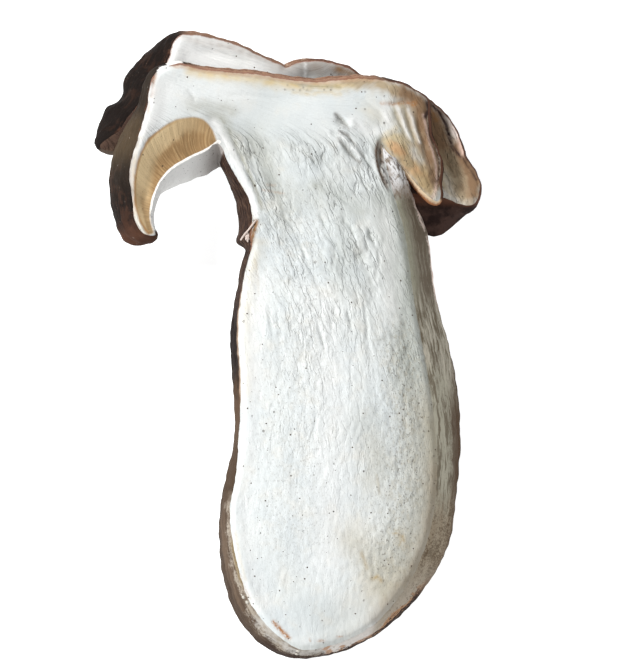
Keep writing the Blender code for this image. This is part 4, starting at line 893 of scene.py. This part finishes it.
class Finish:  # a material being put together; its colours go by their names in a table of tones
    def __init__(self, name, tones, **constants):
        self.material = bpy.data.materials.new(name)
        self.material.use_nodes = True
        self.tree, self.tones = self.material.node_tree, tones
        self.shader = self.tree.nodes["Principled BSDF"]
        for socket, value in constants.items():
            self.shader.inputs[socket.replace("_", " ")].default_value = value

    def add(self, kind, settings=None, inputs=None, output=0):
        return Flow(self.tree, addNode(self.tree, "ShaderNode" + kind, settings, inputs).outputs[output])

    def read(self, *names):
        return [self.add("Attribute", {"attribute_name": name}, output="Fac") for name in names]

    def place(self):  # the point's own x, y and z in millimetres
        split = self.add("SeparateXYZ", inputs={0: self.add("TexCoord", output="Object")})
        return [Flow(self.tree, out) * 1000 for out in split.socket.node.outputs]

    def spot(self, x, y, z=0):
        return self.add("CombineXYZ", inputs={0: x, 1: y, 2: z})

    def clouds(self, place, scale=1, detail=3, roughness=0.55):
        vector = self.spot(*place) if isinstance(place, tuple) else place
        return self.add("TexNoise", inputs={"Vector": vector, "Scale": scale, "Detail": detail,
                                            "Roughness": roughness})

    def colour(self, value):
        return tone(self.tones[value]) if isinstance(value, str) else value

    def mix(self, factor, first, second):
        inputs = {0: factor, 6: self.colour(first), 7: self.colour(second)}
        return self.add("Mix", {"data_type": "RGBA"}, inputs, 2)

    def layers(self, base, *rows):  # a colour and where it lies in each row, later ones over earlier ones
        for colour, where in rows:
            base = self.mix(where, base, colour)
        return base

    def ramp(self, value, *stops):
        coloured = [(place, self.colour(name)) for place, name in stops]
        return self.add("ValToRGB", {"stops": coloured}, {0: value})

    def wear(self, colour, roughness, height, distance):
        bump = self.add("Bump", inputs={"Height": height, "Distance": distance, "Strength": 1})
        for socket, value in (("Base Color", colour), ("Roughness", roughness), ("Normal", bump)):
            feed(self.tree, self.shader.inputs[socket], value)
        return self.material


fleshTones = {
    "white": "e0e4e3", "cool": "d6dcdd", "warm": "e6e1d6", "crevice": "8f938a", "crack": "7c776a",
    "olive": "86836b", "grey": "8a8580", "tan": "82684f", "buff": "b3a287", "pink": "dcbfb0",
    "umber": "42302a", "ochre": "a98d55", "rust": "a0651f", "cream": "d8c190", "shine": "efefed",
    "shade": "b2b6b0",
    "line": "8f604c", "lineDark": "6e4a38", "lineSoft": "bd9c7e", "dot": "4c4038",
    "byMargin": "aaa28e", "byMarginHigh": "a2a392",
    "tubeDark": "7d6444", "tube": "967853", "tubePale": "b4986f", "tubeByFlesh": "cdb48c",
    "tubeWarm": "a8794a", "tubeCream": "e9d0a4", "poreLip": "f4f1ec",
    "lobeTube": "ab9268", "lobePale": "bfab80", "lobeOrange": "c58f58", "lobeDark": "6e5637",
}
# how strongly each tint of the cut face shows, from the lowest layer up
tintStrengths = {"cream": 0.6, "olive": 0.6, "grey": 0.6, "buff": 0.9, "tan": 0.9, "ochre": 0.6, "pink": 0.8,
                 "umber": 1.1, "shade": 0.8}
skinTones = {
    "capDark": "120b08", "cap": "1c1410", "capRed": "30211b", "capEdge": "6e4938", "capWedge": "2a221a",
    "capOlive": "66553f", "capRust": "583a2b", "capAbove": "a5826a", "nick": "b9aca2", "corner": "eeece8",
    "rearEdge": "896752", "rearLow": "45332d", "rearLowDark": "281b18",
    "pores": "efefed", "poresShade": "857c76", "poresFar": "574a40", "poreSpeck": "40322b",
    "underLip": "ecd3b2", "under": "a8724e", "underDark": "6e4230", "underOlive": "8a7a64",
    "stemDark": "1a1210", "stem": "392820", "stemPale": "6a5443", "stemOlive": "4e3b2b", "stemLip": "a8907c",
    "neckTan": "86604a", "foot": "625244", "footDark": "3c3027", "footRed": "46372a", "footStain": "7d6a42",
    "fuzz": "aaa194", "fuzzShade": "756859", "fuzzWhite": "c9c6c0",
    "margin": "9f998a", "marginDark": "746a59", "marginPale": "c4bdad", "marginMid": "b5b19f",
    "marginSoft": "b9b0a2", "marginHigh": "6f6455", "marginHighPale": "a3a18f", "marginBrown": "584433",
    "marginGrain": "a3947f", "marginGrainDark": "6f5e4a", "marginWhite": "d8d3cd", "fringe": "e4d3c8",
    "burnt": "ad7d54", "burntDark": "35261f",
    "crumple": "d6d5d5", "crumpleDark": "62574e", "crumpleTan": "8a7a68",
}


def fleshFinish():
    paint = Finish("porciniFlesh", fleshTones, Specular_IOR_Level=0.2)
    x, y, z = paint.place()
    spot = paint.spot(x, y, z)
    across, along, gap, crack, rough, fold, share, dusty = paint.read(
        "across", "along", "gap", "crack", "rough", "fold", "share", "dusty")
    fibre = paint.clouds((across * 2.2, along * 0.45, z), 1, 4, 0.6)
    lumps = paint.clouds((across * 1.5, along * 0.7, z))
    grain = paint.clouds(spot, 3.2, 3, 0.65)
    patch = paint.clouds(spot, 0.11, 2)
    blotch = paint.clouds(spot, 0.35)
    gritty, blotchy = grain - 0.5, blotch - 0.5
    drift = paint.clouds((across * 0.8, along * 0.3, 2), 1, 2, 0.6) - 0.5
    padPlace = paint.spot(across * 0.7 + drift * 2.6, along * 0.2 + drift * 0.9)
    pads = paint.add("TexVoronoi", {"feature": "DISTANCE_TO_EDGE", "voronoi_dimensions": "2D"},
                     {"Vector": padPlace, "Scale": 1})
    seam = pads.rise(0.09, 0) * rough * fibre.rise(0.38, 0.52)

    # painted shade, with some olive stain, darkens the face where it rolls over to the margin
    margin = paint.read("margin")[0] * (1 - share) * (0.25 + y.rise(-46, -37) * 0.75)
    byMargin = paint.mix(y.rise(-2, 6), "byMargin", "byMarginHigh")
    uneven = gap + (lumps - 0.5) * 2 + gritty * 1.6
    close = y.rise(-8, -14) * uneven.rise(3.6, -0.4) + y.rise(1, 8) * uneven.rise(1.9, 0.5)

    # dark grains, thick in some places, and a few larger flecks
    specks = paint.clouds((across * 3.6, along * 2.2, z + 7), 1, 2, 0.6)
    dirt = paint.clouds((across * 1.5, along * 1, z + 3), 1, 4, 0.7)
    flecks = paint.add("TexVoronoi", {"feature": "F1"}, {"Vector": spot, "Scale": 0.62})
    chance = paint.add("SeparateColor", inputs={0: flecks.socket.node.outputs["Color"]})
    darkness = Flow(paint.tree, chance.socket.node.outputs[1])
    fleck = (chance * 0.22 - 0.09 - flecks - gritty * 0.06).rise(-0.02, 0.03)

    # the thin brown line of skin where the knife left the rim
    width, = paint.read("lineWidth")
    edge = gap + gritty * 0.3 + blotchy * 0.4
    line = paint.mix(x.rise(9, 14) + lumps.rise(0.5, 0.66) * 0.6, "line", "lineDark")

    # tubes of the long half, each a pale and a dark line from the flesh down to the pores
    course, fleshEdge, poreEdge, tubeDepth = paint.read("course", "fleshEdge", "poreEdge", "tubes")
    tubeLine = paint.clouds((course * 3.4, fleshEdge * 0.3, 4), 1, 2, 0.6)
    inward = fleshEdge / (fleshEdge + poreEdge + 0.01) + blotchy * 0.5
    side = course.rise(5, 11)
    # the cream band by the flesh edge, made lighter as painted light where the recess wall shades the tubes
    cream = (fleshEdge + blotchy * 0.8).rise(3.6, 1.4) * side * (1 - course.rise(15.5, 19.5) * 0.85)
    tubes = paint.layers(
        paint.ramp(tubeLine, (0.26, "tubeDark"), (0.74, "tubePale"), (0.5, "tube")),
        ("tubeByFlesh", inward.rise(0.5, 0.3) * (0.1 + course.rise(2, 7) * 0.65)),
        ("tubeCream", cream * 0.95),
        ("tubeWarm", fleshEdge.rise(0.62, 0.3) * side * 0.75),
        ("tubeDark", grain.rise(0.62, 0.72) * 0.5),
        ("dot", fleck * 0.8))
    inTubes = (tubeDepth + blotchy * 0.5).rise(-0.1, 0.35)
    lip = (poreEdge + blotchy * 0.35).rise(0.42, 0.26)
    lip = lip * paint.read("pores")[0] * (1 - course.rise(17.5, 21) * 0.7)

    # tubes of the short half lie bare and slanting
    slant, fall = (x + y) * 0.7, (y - x) * 0.7
    cross = paint.clouds((fall * 2.8, slant * 0.5, z), 1, 3, 0.6)
    bare = paint.layers(
        "lobeTube",
        ("lobePale", y.rise(30, 33.5)),
        ("lobeDark", cross.rise(0.48, 0.72) * 0.3),
        ("lobeOrange", slant.rise(34.4, 33.4) * y.rise(26, 28.5) * 0.6 * blotch.rise(0.4, 0.6)),
        ("lobeDark", grain.rise(0.64, 0.72) * 0.6))
    tints = dict(zip(tintStrengths, paint.read(*tintStrengths)))
    lobe, rust, shine = paint.read("lobe", "rust", "shine")
    spared = (tints["cream"] * 0.6 + tints["umber"] + tints["pink"]).under(1)
    untanned = (1 - tints["tan"] * 0.75).over(0)

    colour = paint.layers(
        "white",
        ("cool", patch.rise(0.35, 0.65)),
        ("warm", blotch.rise(0.5, 0.75) * 0.35),
        # painted shade along the fibre streaks and in the folds of the mesh
        ("crevice", fibre.rise(0.55, 0.75) * (0.05 + rough * 0.1)),
        ("crevice", fold.rise(-0.04, -0.5) * 0.4),
        # painted shade along the crease bottoms and the seams between pads
        ("crack", crack * 0.24 + seam * 0.2),
        # painted shade and stain where the face rolls over to the margin
        (byMargin, margin * uneven.rise(8, 0.5) * y.rise(4, -12) * (0.2 + lumps * 0.8)),
        (byMargin, (margin * close * (0.5 + y.rise(-32, -20) * 0.4)).under(1)),
        ("shade", margin * uneven.rise(6, 1) * y.rise(-12, -4) * 0.6),
        # painted shade: a dark line where the face steps down to the margin
        ("crack", margin * gap.rise(0.45, 0.1) * y.rise(10, 4) * y.rise(-14, -8) * 0.6),
        # the tint patches, some of them painted shade in creases, hollows and under rims
        *((name, (tints[name] * (strength + fibre * 0.8)).under(1))
          for name, strength in tintStrengths.items()),
        ("rust", rust * grain.rise(0.3, 0.5)),
        # whiter flesh and painted highlight, kept off the crease bottoms
        ("shine", shine * (1 - crack * 0.6)),
        ("dot", specks.rise(0.58, 0.67) * (0.08 + dusty * 0.7)),
        # dark grains where the face is dusty, in the same tone
        ("crevice", grain.rise(0.54, 0.66) * dusty * 0.5),
        # dusty mottling, in the same tone as the roll shade and stain
        ("byMargin", dirt.rise(0.5, 0.62) * dusty * 0.5),
        ("dot", fleck * (0.2 + darkness * darkness * 0.7)),
        ("lineSoft", (edge - width * 2.6).rise(0.3, -0.3) * width.rise(0.05, 0.3) * 0.6),
        (line, (edge - width).rise(0.12, -0.12) * width.rise(0.03, 0.12) * 0.85),
        (tubes, inTubes),
        ("poreLip", lip),
        (bare, (lobe + blotchy * 1.2).rise(-0.9, 0.9) * (1 - spared) * untanned * 0.9))

    # small pads, wrinkles and grains in the light, on top of those in the mesh
    pad = pads.rise(0, 0.2) * rough * 1.6
    height = (fibre * 0.35 + lumps * (0.3 + rough * 1.2) + pad) * (1 - inTubes)
    height = height + grain * 0.4 + tubeLine * inTubes * 0.7 - fleck - dirt * dusty * 2.4
    return paint.wear(colour, 0.84 + grain * 0.1, height, 0.0001)


def skinFinish():
    paint = Finish("porciniSkin", skinTones, Specular_IOR_Level=0.1)
    x, y, z = paint.place()
    spot = paint.spot(x, y, z)
    run, down, share = paint.read("wallRun", "wallDown", "share")
    streak = paint.clouds((run * 0.5, down * 2.4, z * 0.2), 1, 4, 0.65)
    fine = paint.clouds((run * 0.5, down * 3, 3), 1, 3, 0.6)
    long = paint.clouds((run * 0.12, down * 1.1, 6), 1, 3, 0.6)
    grain = paint.clouds(spot, 3, 3, 0.65)
    blotch = paint.clouds(spot, 0.4)
    gritty, blotchy, finely, drawn = grain - 0.5, blotch - 0.5, fine - 0.5, long - 0.5
    ragged = share + gritty * 0.3

    # skin of the cap, paler on the upper leaf's shoulder and brown at its edges
    nicks = paint.clouds((run * 0.9, down * 3, 9), 1, 2, 0.5)
    above = x.rise(-19, -15) * y.rise(27, 33) * x.rise(16, 12)
    streaked = (streak + grain * 0.6).rise(0.6, 0.95)
    core = ragged.rise(0.02, 0.14) * ragged.rise(0.46, 0.3) * (0.15 + streaked * 0.85)
    rearEdge = paint.layers(
        "rearEdge",
        ("capEdge", (x + blotch * 4).rise(1, 6)),
        ("cap", (streak + gritty * 0.4).rise(0.5, 0.6) * 0.5),
        ("stemLip", (blotch + gritty * 0.5).rise(0.54, 0.66) * 0.6))
    corners = [((x - cornerX) ** 2 + (y - cornerY) ** 2) ** 0.5 + gritty * 0.8
               for cornerX, cornerY in ((-21.1, 41.5), (-19.7, 43.6))]
    cap = paint.layers(
        paint.ramp(streak, (0.32, "capDark"), (0.78, "capRed"), (0.56, "cap")),
        ("capRust", (blotch * 0.7 + long * 0.5).rise(0.6, 0.72) * 0.3),
        ("capWedge", x.rise(-21.5, -23.5) * y.rise(19, 29) * z.rise(6.2, 7.4) * (0.6 + streak * 0.5)),
        ("capOlive",
         x.rise(-24, -25.6) * z.rise(5.6, 6.6) * y.rise(37, 33) * y.rise(25, 30) * (0.1 + streak * 0.45)),
        ("capEdge", grain.rise(0.64, 0.75) * 0.2),
        ("capDark", x.rise(-18, -21) * z.rise(6.8, 5.8) * 0.5),
        ("capRust", y.rise(18.4, 15.4) * x.rise(-20, -22) * (0.3 + blotch * 0.8)),
        ("nick", nicks.rise(0.72, 0.78) * x.rise(-14, -18) * 0.5),
        (paint.mix(core * 0.85, "capAbove", "capEdge"),
         ragged.rise(0.75, 0.45) * above * (0.6 + blotch * 0.7).under(1)),
        (rearEdge, ragged.rise(0.7, 0.4) * z.rise(6.9, 6.5) * y.rise(42.6, 44) * x.rise(-19, -16)),
        (paint.mix(blotch.rise(0.4, 0.6), "rearLow", "rearLowDark"),
         x.rise(16, 19) * y.rise(30, 26) * z.rise(6, 5)),
        *(("corner", corner.rise(1.5, 1.15) * z.rise(9, 9.5)) for corner in corners),
        ("capEdge", ragged.rise(0.45, 0.1) * x.rise(14, 18) * y.rise(22.4, 24) * 0.8),
        ("capEdge", (share + gritty * 0.2).rise(0.1, 0.02) * blotch.rise(0.5, 0.7) * 0.6))

    # pore face: white in the bay, brown in the lower leaf's far lobe and under the short half
    under = paint.layers(
        paint.ramp(ragged, (0.1, "underLip"), (0.75, "underDark"), (0.32, "under")),
        ("underOlive", x.rise(18.5, 16.5) * 0.8))
    pores = paint.layers(
        "pores",
        ("poresShade", x.rise(-17.5, -11.5) * 0.85),
        ("poresFar", x.rise(-24, -26)),
        (under, x.rise(8, 12)),
        ("poreSpeck", grain.rise(0.63, 0.69) * (0.4 + x.rise(-19, -12) * 0.6) * x.rise(5, 0)))

    # skin of the stem's left side: near black at the middle, olive below it, then red brown
    stem = paint.layers(
        paint.ramp(fine, (0.34, "stemDark"), (0.72, "stemPale"), (0.54, "stem")),
        ("stemDark", (y - 1 + blotch * 3).rise(9, 2) * 0.95),
        ("stemOlive", (y + blotch * 9 + streak * 5).rise(2.5, -4)),
        ("footRed", (y + blotch * 6).rise(-9, -17)),
        ("neckTan", y.rise(18.6, 17.6) * y.rise(13, 14.5) * ragged.rise(0.1, 0.02) * 0.9),
        ("stemLip", (share + finely * 0.2).rise(0.09, 0.02) * y.rise(9, 5) * y.rise(-12, -8) * 0.85))

    # the foot is bare and brown outside, and furred pale towards the cut
    below = y.rise(-42, -45.5)
    fuzz = paint.layers(
        "fuzz",
        ("fuzzShade", (streak + gritty * 0.6).rise(0.4, 0.7)),
        ("fuzzWhite", below * blotch.rise(0.36, 0.6)))
    furred = share - below * 0.16 + drawn * 0.5 + gritty * 0.4 + blotchy * 0.7
    foot = paint.layers(
        "foot",
        ("footDark", long.rise(0.42, 0.62) * 0.5),
        ("footRed", (y + blotch * 5).rise(-28, -19)),
        ("footDark", (share + drawn * 0.5).rise(0.35, 0.75) * 0.75),
        (fuzz, furred.rise(0.28, 0.02) * (y + blotch * 4).rise(-21, -27) * 0.85),
        ("footStain", (share + drawn * 0.3).rise(0.16, 0.06) * y.rise(-31, -33) * y.rise(-40, -38) * 0.6),
        ("burntDark", y.rise(-46.4, -48.6) * (ragged + blotchy * 0.9).rise(0.3, 0.45) * 0.8))

    # the margin right of the stem: pale and brown streaks along it, browner outside and grainy lower down
    bands = long + finely * 0.55 + gritty * 0.15
    outside = share + drawn * 0.5 + gritty * 0.3
    inner = (share + drawn * 0.6).rise(0.78, 0.5) * (y + blotch * 3).rise(-1, -5)
    grains = paint.layers(
        "marginGrain",
        ("marginGrainDark", (grain * 0.7 + blotch * 0.4).rise(0.48, 0.62)),
        ("marginBrown", outside.rise(0.45, 0.95) * 0.75))
    high = paint.layers(
        "marginHigh",
        ("marginHighPale", (share + finely * 0.3).rise(0.34, -0.06)),
        ("margin", bands.rise(0.52, 0.62) * 0.5))
    pale = (share + gritty * 0.3 + blotchy * 0.6).rise(0.62, 0.5) * x.rise(14.5, 12)
    scorched = y.rise(-37, -41)
    fringe = (share + gritty * 0.3 + y.rise(15, 21) * 0.17).rise(0.78, 0.84) * y.rise(5, 9)
    margin = paint.layers(
        paint.ramp(bands, (0.4, "marginDark"), (0.62, "marginPale"), (0.5, "margin")),
        ("marginBrown", outside.rise(0.3, 0.9) * y.rise(-2, -16) * 0.95),
        ("marginBrown", outside.rise(0.75, 0.95) * 0.6),
        ("marginMid", inner * (0.1 + bands.rise(0.44, 0.54) * 0.75)),
        ("marginBrown", outside.rise(0.3, 0.55) * (y.rise(-6, -12) * y.rise(-28, -22)) * 0.8),
        (grains, (y + blotch * 4).rise(-20, -28) * 0.85),
        (high, (y + blotch * 3).rise(5, 12)),
        ("marginWhite", pale * y.rise(-41, -43)),
        ("marginSoft", y.rise(-34, -41) * (1 - pale) * 0.6),
        ("burnt", scorched * (ragged + blotchy * 1.8).rise(0.3, 0.44) * 0.75),
        ("burntDark", scorched * (ragged + (streak - 0.5) * 1.4 + gritty * 0.6).rise(0.46, 0.56)),
        ("burntDark", (share + gritty * 0.2).rise(0.86, 0.94) * y.rise(2, -4) * 0.7),
        ("fringe", fringe * blotch.rise(0.36, 0.5)),
        ("stemDark", grain.rise(0.64, 0.72) * 0.5))

    # the crumpled neck under the short half, in pale and brown wisps
    wisps = paint.clouds(((x * 0.87 + y * 0.5) * 2.2, (x * 0.5 - y * 0.87) * 0.7, z * 1.2), 1, 4, 0.7)
    crumple = paint.layers(
        "crumple",
        ("crumpleDark", wisps.rise(0.48, 0.62) * 0.95),
        ("crumpleTan", blotch.rise(0.5, 0.62) * 0.5),
        ("crumpleTan", (y + blotch * 2).rise(27.5, 24.5) * (0.3 + wisps * 0.5)))

    # each skin lies along its own stretch of the rim
    onPores, onStem, onFoot, onMargin, lumpy = paint.read("pores", "stem", "foot", "margin", "crumple")
    colour = paint.layers(
        cap,
        *((look, (kind + blotchy * 0.25).rise(0.35, 0.65)) for look, kind in (
            (pores, onPores), (stem, onStem), (foot, onFoot), (margin, onMargin + lumpy))),
        (crumple, (lumpy + (wisps - 0.5) * 1.2 + gritty * 0.4).rise(0.15, 0.6)))
    return paint.wear(colour, 0.68 + grain * 0.2, streak * 0.8 + fine * 0.7 + grain * 0.4, 0.00012)


def plainFinish(name, code, roughness, speckle, **constants):
    darker = tuple(c * 0.72 for c in tone(code)[:3]) + (1,)
    paint = Finish(name, {"plain": code}, **constants)
    cloud = paint.clouds(tuple(paint.place()), speckle, 3, 0.6)
    return paint.wear(paint.mix(cloud, "plain", darker), roughness + cloud * 0.1, cloud, 0.00003)


flesh, skin = fleshFinish(), skinFinish()
gritFinish = plainFinish("driedGrit", "5b4c40", 0.8, 6)
crumbFinish = plainFinish("paleFuzz", "c9c4b9", 0.9, 5)
flapFinish = plainFinish("paleRim", "d6c6bc", 0.85, 2.5)
print("materials ready")


def lineWidths(facts, values, points):  # how wide the brown line is along each stretch of rim
    x, y = points[:, 0], points[:, 1]
    top = ease(39, 42.5, y)
    width = values["cap"] * (facts["lineTop"] * top + facts["lineSide"] * (1 - top))
    width *= 1 - 0.5 * ease(11, 16, x)
    width *= 1 - 0.9 * ease(-24, -26, x) * ease(30, 31, y) * facts["plainTip"]
    width *= 1 - 0.9 * ease(-18.4, -20.6, x) * ease(41, 42, y) * (1 - facts["plainTip"])
    return width + values["stem"] * 0.06 + values["foot"] * 0.03


def joinSlabs():  # both leaves and the stem as one piece
    allPoints, allFaces, allSlots, allValues, start = [], [], [], [], 0
    for facts, face in ((frontSlab, frontFace), (lowerLeaf, lowerFace)):
        points, groups, values = makeSlab(facts, face)
        values["lineWidth"] = lineWidths(facts, values, points)
        for group, slot in zip(groups, (0, 1, 0)):
            allFaces.append([[start + i for i in f] for f in group])
            allSlots += [slot] * len(group)
        allPoints.append(points)
        allValues.append(values)
        start += len(points)
    values = {key: np.concatenate([v[key] for v in allValues]) for key in allValues[0]}
    return meshOf("porciniSlice", np.concatenate(allPoints), allFaces, allSlots, values, [flesh, skin])


porciniSlice = joinSlabs()
print("slice made:", len(porciniSlice.data.polygons), "faces")

neckFlap = {
    "course": [(-5.5, 19.5, 9.05), (-5.9, 19, 9.15), (-6.3, 18.5, 9), (-6.7, 17.95, 8.7), (-7.3, 17.2, 8.1),
               (-7.6, 16.8, 7.6), (-7.85, 16.4, 6.8)],
    "width": 0.52,
    "thickness": 0.26,
    "curl": 0.12,
    "sideways": (0.75, 0.66, 0),
    "curlWay": (-0.3, 0, 0.5),
    "tuft": {"place": (-6.85, 16.75, 7.7), "size": (0.42, 0.72, 0.5), "ruffle": 0.3},
}


def evaluated(obj):  # a plain mesh of the object with its modifiers applied
    return bpy.data.meshes.new_from_object(obj.evaluated_get(bpy.context.evaluated_depsgraph_get()))


def dress(mesh, finish):
    mesh.materials.clear()
    mesh.materials.append(finish)
    mesh.shade_smooth()


def makeFlap(facts):  # the torn rim that stands away from the neck, and the tuft under it
    line = flowing(facts["course"], 3, 31)
    across, rows = 7, []
    sideways, curlWay = np.array(facts["sideways"]), np.array(facts["curlWay"])
    for i, p in enumerate(line):
        end = i / (len(line) - 1)
        half = facts["width"] / 2 * (1 - 0.5 * end**2) * (0.8 + 0.3 * math.sin(11 * end))
        for side in np.linspace(-1, 1, across):
            lift = facts["curl"] * (side**2 - 0.5)
            rows.append(p + sideways * side * half + curlWay * lift)
    quads = [(k, k + 1, k + across + 1, k + across)
             for i in range(len(line) - 1) for k in range(i * across, (i + 1) * across - 1)]
    mesh = bpy.data.meshes.new("neckFlap")
    mesh.from_pydata(((np.array(rows) - middle) * mm).tolist(), [], quads)
    strip = addObject("neckFlap", mesh)
    thick = strip.modifiers.new("thick", "SOLIDIFY")
    thick.thickness, thick.offset = facts["thickness"] * mm, 0
    smooth = strip.modifiers.new("smooth", "SUBSURF")
    smooth.levels = smooth.render_levels = 2
    mesh = evaluated(strip)
    strip.modifiers.clear()

    ball = bmesh.new()
    ball.from_mesh(mesh)
    added = bmesh.ops.create_icosphere(ball, subdivisions=4, radius=1)["verts"]
    spots = np.array([v.co[:] for v in added])
    tuft = facts["tuft"]
    swollen = 1 + tuft["ruffle"] * (hills(spots[:, :2] * 1.6 + 5, 3) + 0.6 * hills(spots[:, 1:] * 3.1, 9))
    spots = spots * swollen[:, None] * np.array(tuft["size"]) + np.array(tuft["place"]) - middle
    for v, spot in zip(added, spots * mm):
        v.co = spot
    ball.to_mesh(mesh)
    ball.free()
    strip.data = mesh
    dress(mesh, flapFinish)
    return strip


flap = makeFlap(neckFlap)
print("flap made")

gritSpecks = {"density": 0.1, "smallest": 0.05, "largest": 0.15, "flatness": 0.45, "seed": 7}
rimCrumbs = {"density": 0.9, "smallest": 0.12, "largest": 0.42, "flatness": 0.55, "seed": 11}
fullTurn, spinSeed, facesEach = 6.283, 3, 20


def scatterTree(name, finish):  # round grains of random size, more of them where "scatter" is higher
    tree = bpy.data.node_groups.new(name, "GeometryNodeTree")
    for label, kind in (("Ground", "Geometry"), ("Density", "Float"), ("Smallest", "Float"),
                        ("Largest", "Float"), ("Flatness", "Float"), ("Seed", "Int")):
        tree.interface.new_socket(label, in_out="INPUT", socket_type="NodeSocket" + kind)
    tree.interface.new_socket("Specks", in_out="OUTPUT", socket_type="NodeSocketGeometry")

    def add(kind, settings=None, **inputs):  # an input goes by its name, or as "at" and its number
        named = {int(key[2:]) if key[2:].isdigit() else key: value for key, value in inputs.items()}
        return addNode(tree, kind, settings, named).outputs

    given = add("NodeGroupInput")
    where = add("GeometryNodeInputNamedAttribute", {"data_type": "FLOAT"}, Name="scatter")[0]
    spread = add("GeometryNodeDistributePointsOnFaces", {"distribute_method": "RANDOM"}, Mesh=given["Ground"],
                 Density=Flow(tree, where) * given["Density"], Seed=given["Seed"])
    size = add("FunctionNodeRandomValue", {"data_type": "FLOAT"}, at2=given["Smallest"], at3=given["Largest"],
               Seed=given["Seed"])[1]
    shape = add("ShaderNodeCombineXYZ", at0=size, at1=size, at2=Flow(tree, size) * given["Flatness"])[0]
    spin = add("FunctionNodeRandomValue", {"data_type": "FLOAT"}, at2=0, at3=fullTurn, Seed=spinSeed)[1]
    turn = add("ShaderNodeCombineXYZ", at2=spin)[0]
    speck = add("GeometryNodeMeshIcoSphere", Radius=1, Subdivisions=1)["Mesh"]
    place = add("GeometryNodeInstanceOnPoints", Points=spread["Points"], Instance=speck,
                Rotation=spread["Rotation"], Scale=shape)[0]
    turned = add("GeometryNodeRotateInstances", Instances=place, Rotation=turn)[0]
    real = add("GeometryNodeRealizeInstances", Geometry=turned)[0]
    add("NodeGroupOutput", Specks=add("GeometryNodeSetMaterial", Geometry=real, Material=finish)[0])
    return tree


def scatter(name, facts, weight, finish):
    ground = porciniSlice.copy()
    ground.data = porciniSlice.data.copy()
    writeValues(ground.data, "scatter", weight)
    bpy.context.scene.collection.objects.link(ground)
    grow = ground.modifiers.new("scatter", "NODES")
    grow.node_group = scatterTree(name, finish)
    sizes = {"Density": facts["density"] * 1e6, "Smallest": facts["smallest"] * mm,
             "Largest": facts["largest"] * mm, "Flatness": facts["flatness"], "Seed": facts["seed"]}
    for item in grow.node_group.interface.items_tree:
        if item.in_out == "INPUT" and item.name in sizes:
            grow[item.identifier] = sizes[item.name]
    mesh = evaluated(ground)
    mesh.name = name
    bpy.data.objects.remove(ground)
    for attribute in [a.name for a in mesh.attributes if a.name not in ("position", "sharp_face")]:
        if not mesh.attributes[attribute].is_internal and not mesh.attributes[attribute].is_required:
            mesh.attributes.remove(mesh.attributes[attribute])
    dress(mesh, finish)
    mesh.polygons.foreach_set("material_index", np.zeros(len(mesh.polygons), np.int32))
    return addObject(name, mesh)


def readValues(obj, name):
    values = np.zeros(len(obj.data.vertices), np.float32)
    obj.data.attributes[name].data.foreach_get("value", values)
    return values


spots = np.zeros(len(porciniSlice.data.vertices) * 3, np.float32)
porciniSlice.data.vertices.foreach_get("co", spots)
spots = spots.reshape(-1, 3) / mm
share = readValues(porciniSlice, "share")
onFace = (share == 0) * (spots[:, 2] > 4.2)  # the back rests below this height
downStem = 0.35 + 0.65 * ease(10, -25, spots[:, 1])
grit = scatter("gritSpecks", gritSpecks, onFace * downStem, gritFinish)
byFoot = readValues(porciniSlice, "foot") * groove(share - 0.12, 0.14)  # a band just under the rim
byFoot *= ease(-36, -42, spots[:, 1]) * ease(-0.2, 0.3, hills(spots[:, :2] / 2.5, 7))
crumbs = scatter("rimCrumbs", rimCrumbs, byFoot * (share > 0), crumbFinish)
counts = [len(piece.data.polygons) // facesEach for piece in (grit, crumbs)]
print("specks scattered:", counts[0], "grit and", counts[1], "crumbs")

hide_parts("mushroom")
for piece in (porciniSlice, flap, grit, crumbs):
    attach(piece, "root")

studio = {
    "floorWidth": 3,
    "floorBelow": 0.0002,
    "floorGlow": 0.56,
    "key": {"from": (-0.78, 0.26, 0.57), "distance": 1.2, "width": 0.3, "watts": 15.5},
    "fill": {"from": (0.2, -0.5, 0.85), "distance": 1.4, "width": 1.2, "watts": 3},
    "sky": 0.48,
}


def setStudio(facts):
    half, white = facts["floorWidth"] / 2, (1, 1, 1, 1)
    corners = [(x * half, y * half, -facts["floorBelow"]) for x, y in ((-1, -1), (1, -1), (1, 1), (-1, 1))]
    mesh = bpy.data.meshes.new("paleFloor")
    mesh.from_pydata(corners, [], [(0, 1, 2, 3)])
    mesh.materials.append(plainFinish("paleFloor", "fbfbfb", 0.9, 0.02, Emission_Color=white,
                                      Emission_Strength=facts["floorGlow"]))
    addObject("paleFloor", mesh)
    for name in ("key", "fill"):
        lamp = facts[name]
        light = bpy.data.lights.new(name + "Light", "AREA")
        light.shape, light.size, light.energy = "DISK", lamp["width"], lamp["watts"]
        way = Vector(lamp["from"]).normalized()
        obj = addObject(name + "Light", light)
        obj.location = way * lamp["distance"]
        obj.rotation_euler = way.to_track_quat("Z", "Y").to_euler()
    world = bpy.data.worlds.new("paleSky")
    world.use_nodes = True
    sky = world.node_tree.nodes["Background"].inputs
    sky["Color"].default_value, sky["Strength"].default_value = white, facts["sky"]
    bpy.context.scene.world = world
    bpy.context.scene.view_settings.view_transform = "Standard"


photoCamera = {
    "place": (-48.109, -42.719, 328.899),
    "right": (0.987, 0, 0.16071),
    "up": (-0.02148, 0.99103, 0.13191),
    "back": (-0.15927, -0.13364, 0.97815),
    "lens": 112,
}


def setCamera(facts):
    camera = addObject("photoCamera", bpy.data.cameras.new("photoCamera"))
    turn = Matrix((facts["right"], facts["up"], facts["back"])).transposed().to_4x4()
    turn.translation = Vector(facts["place"]) * mm
    camera.matrix_world = turn
    camera.data.lens, camera.data.sensor_width, camera.data.clip_start = facts["lens"], 36, 0.01
    bpy.context.scene.camera = camera


setStudio(studio)
setCamera(photoCamera)
print("studio ready")
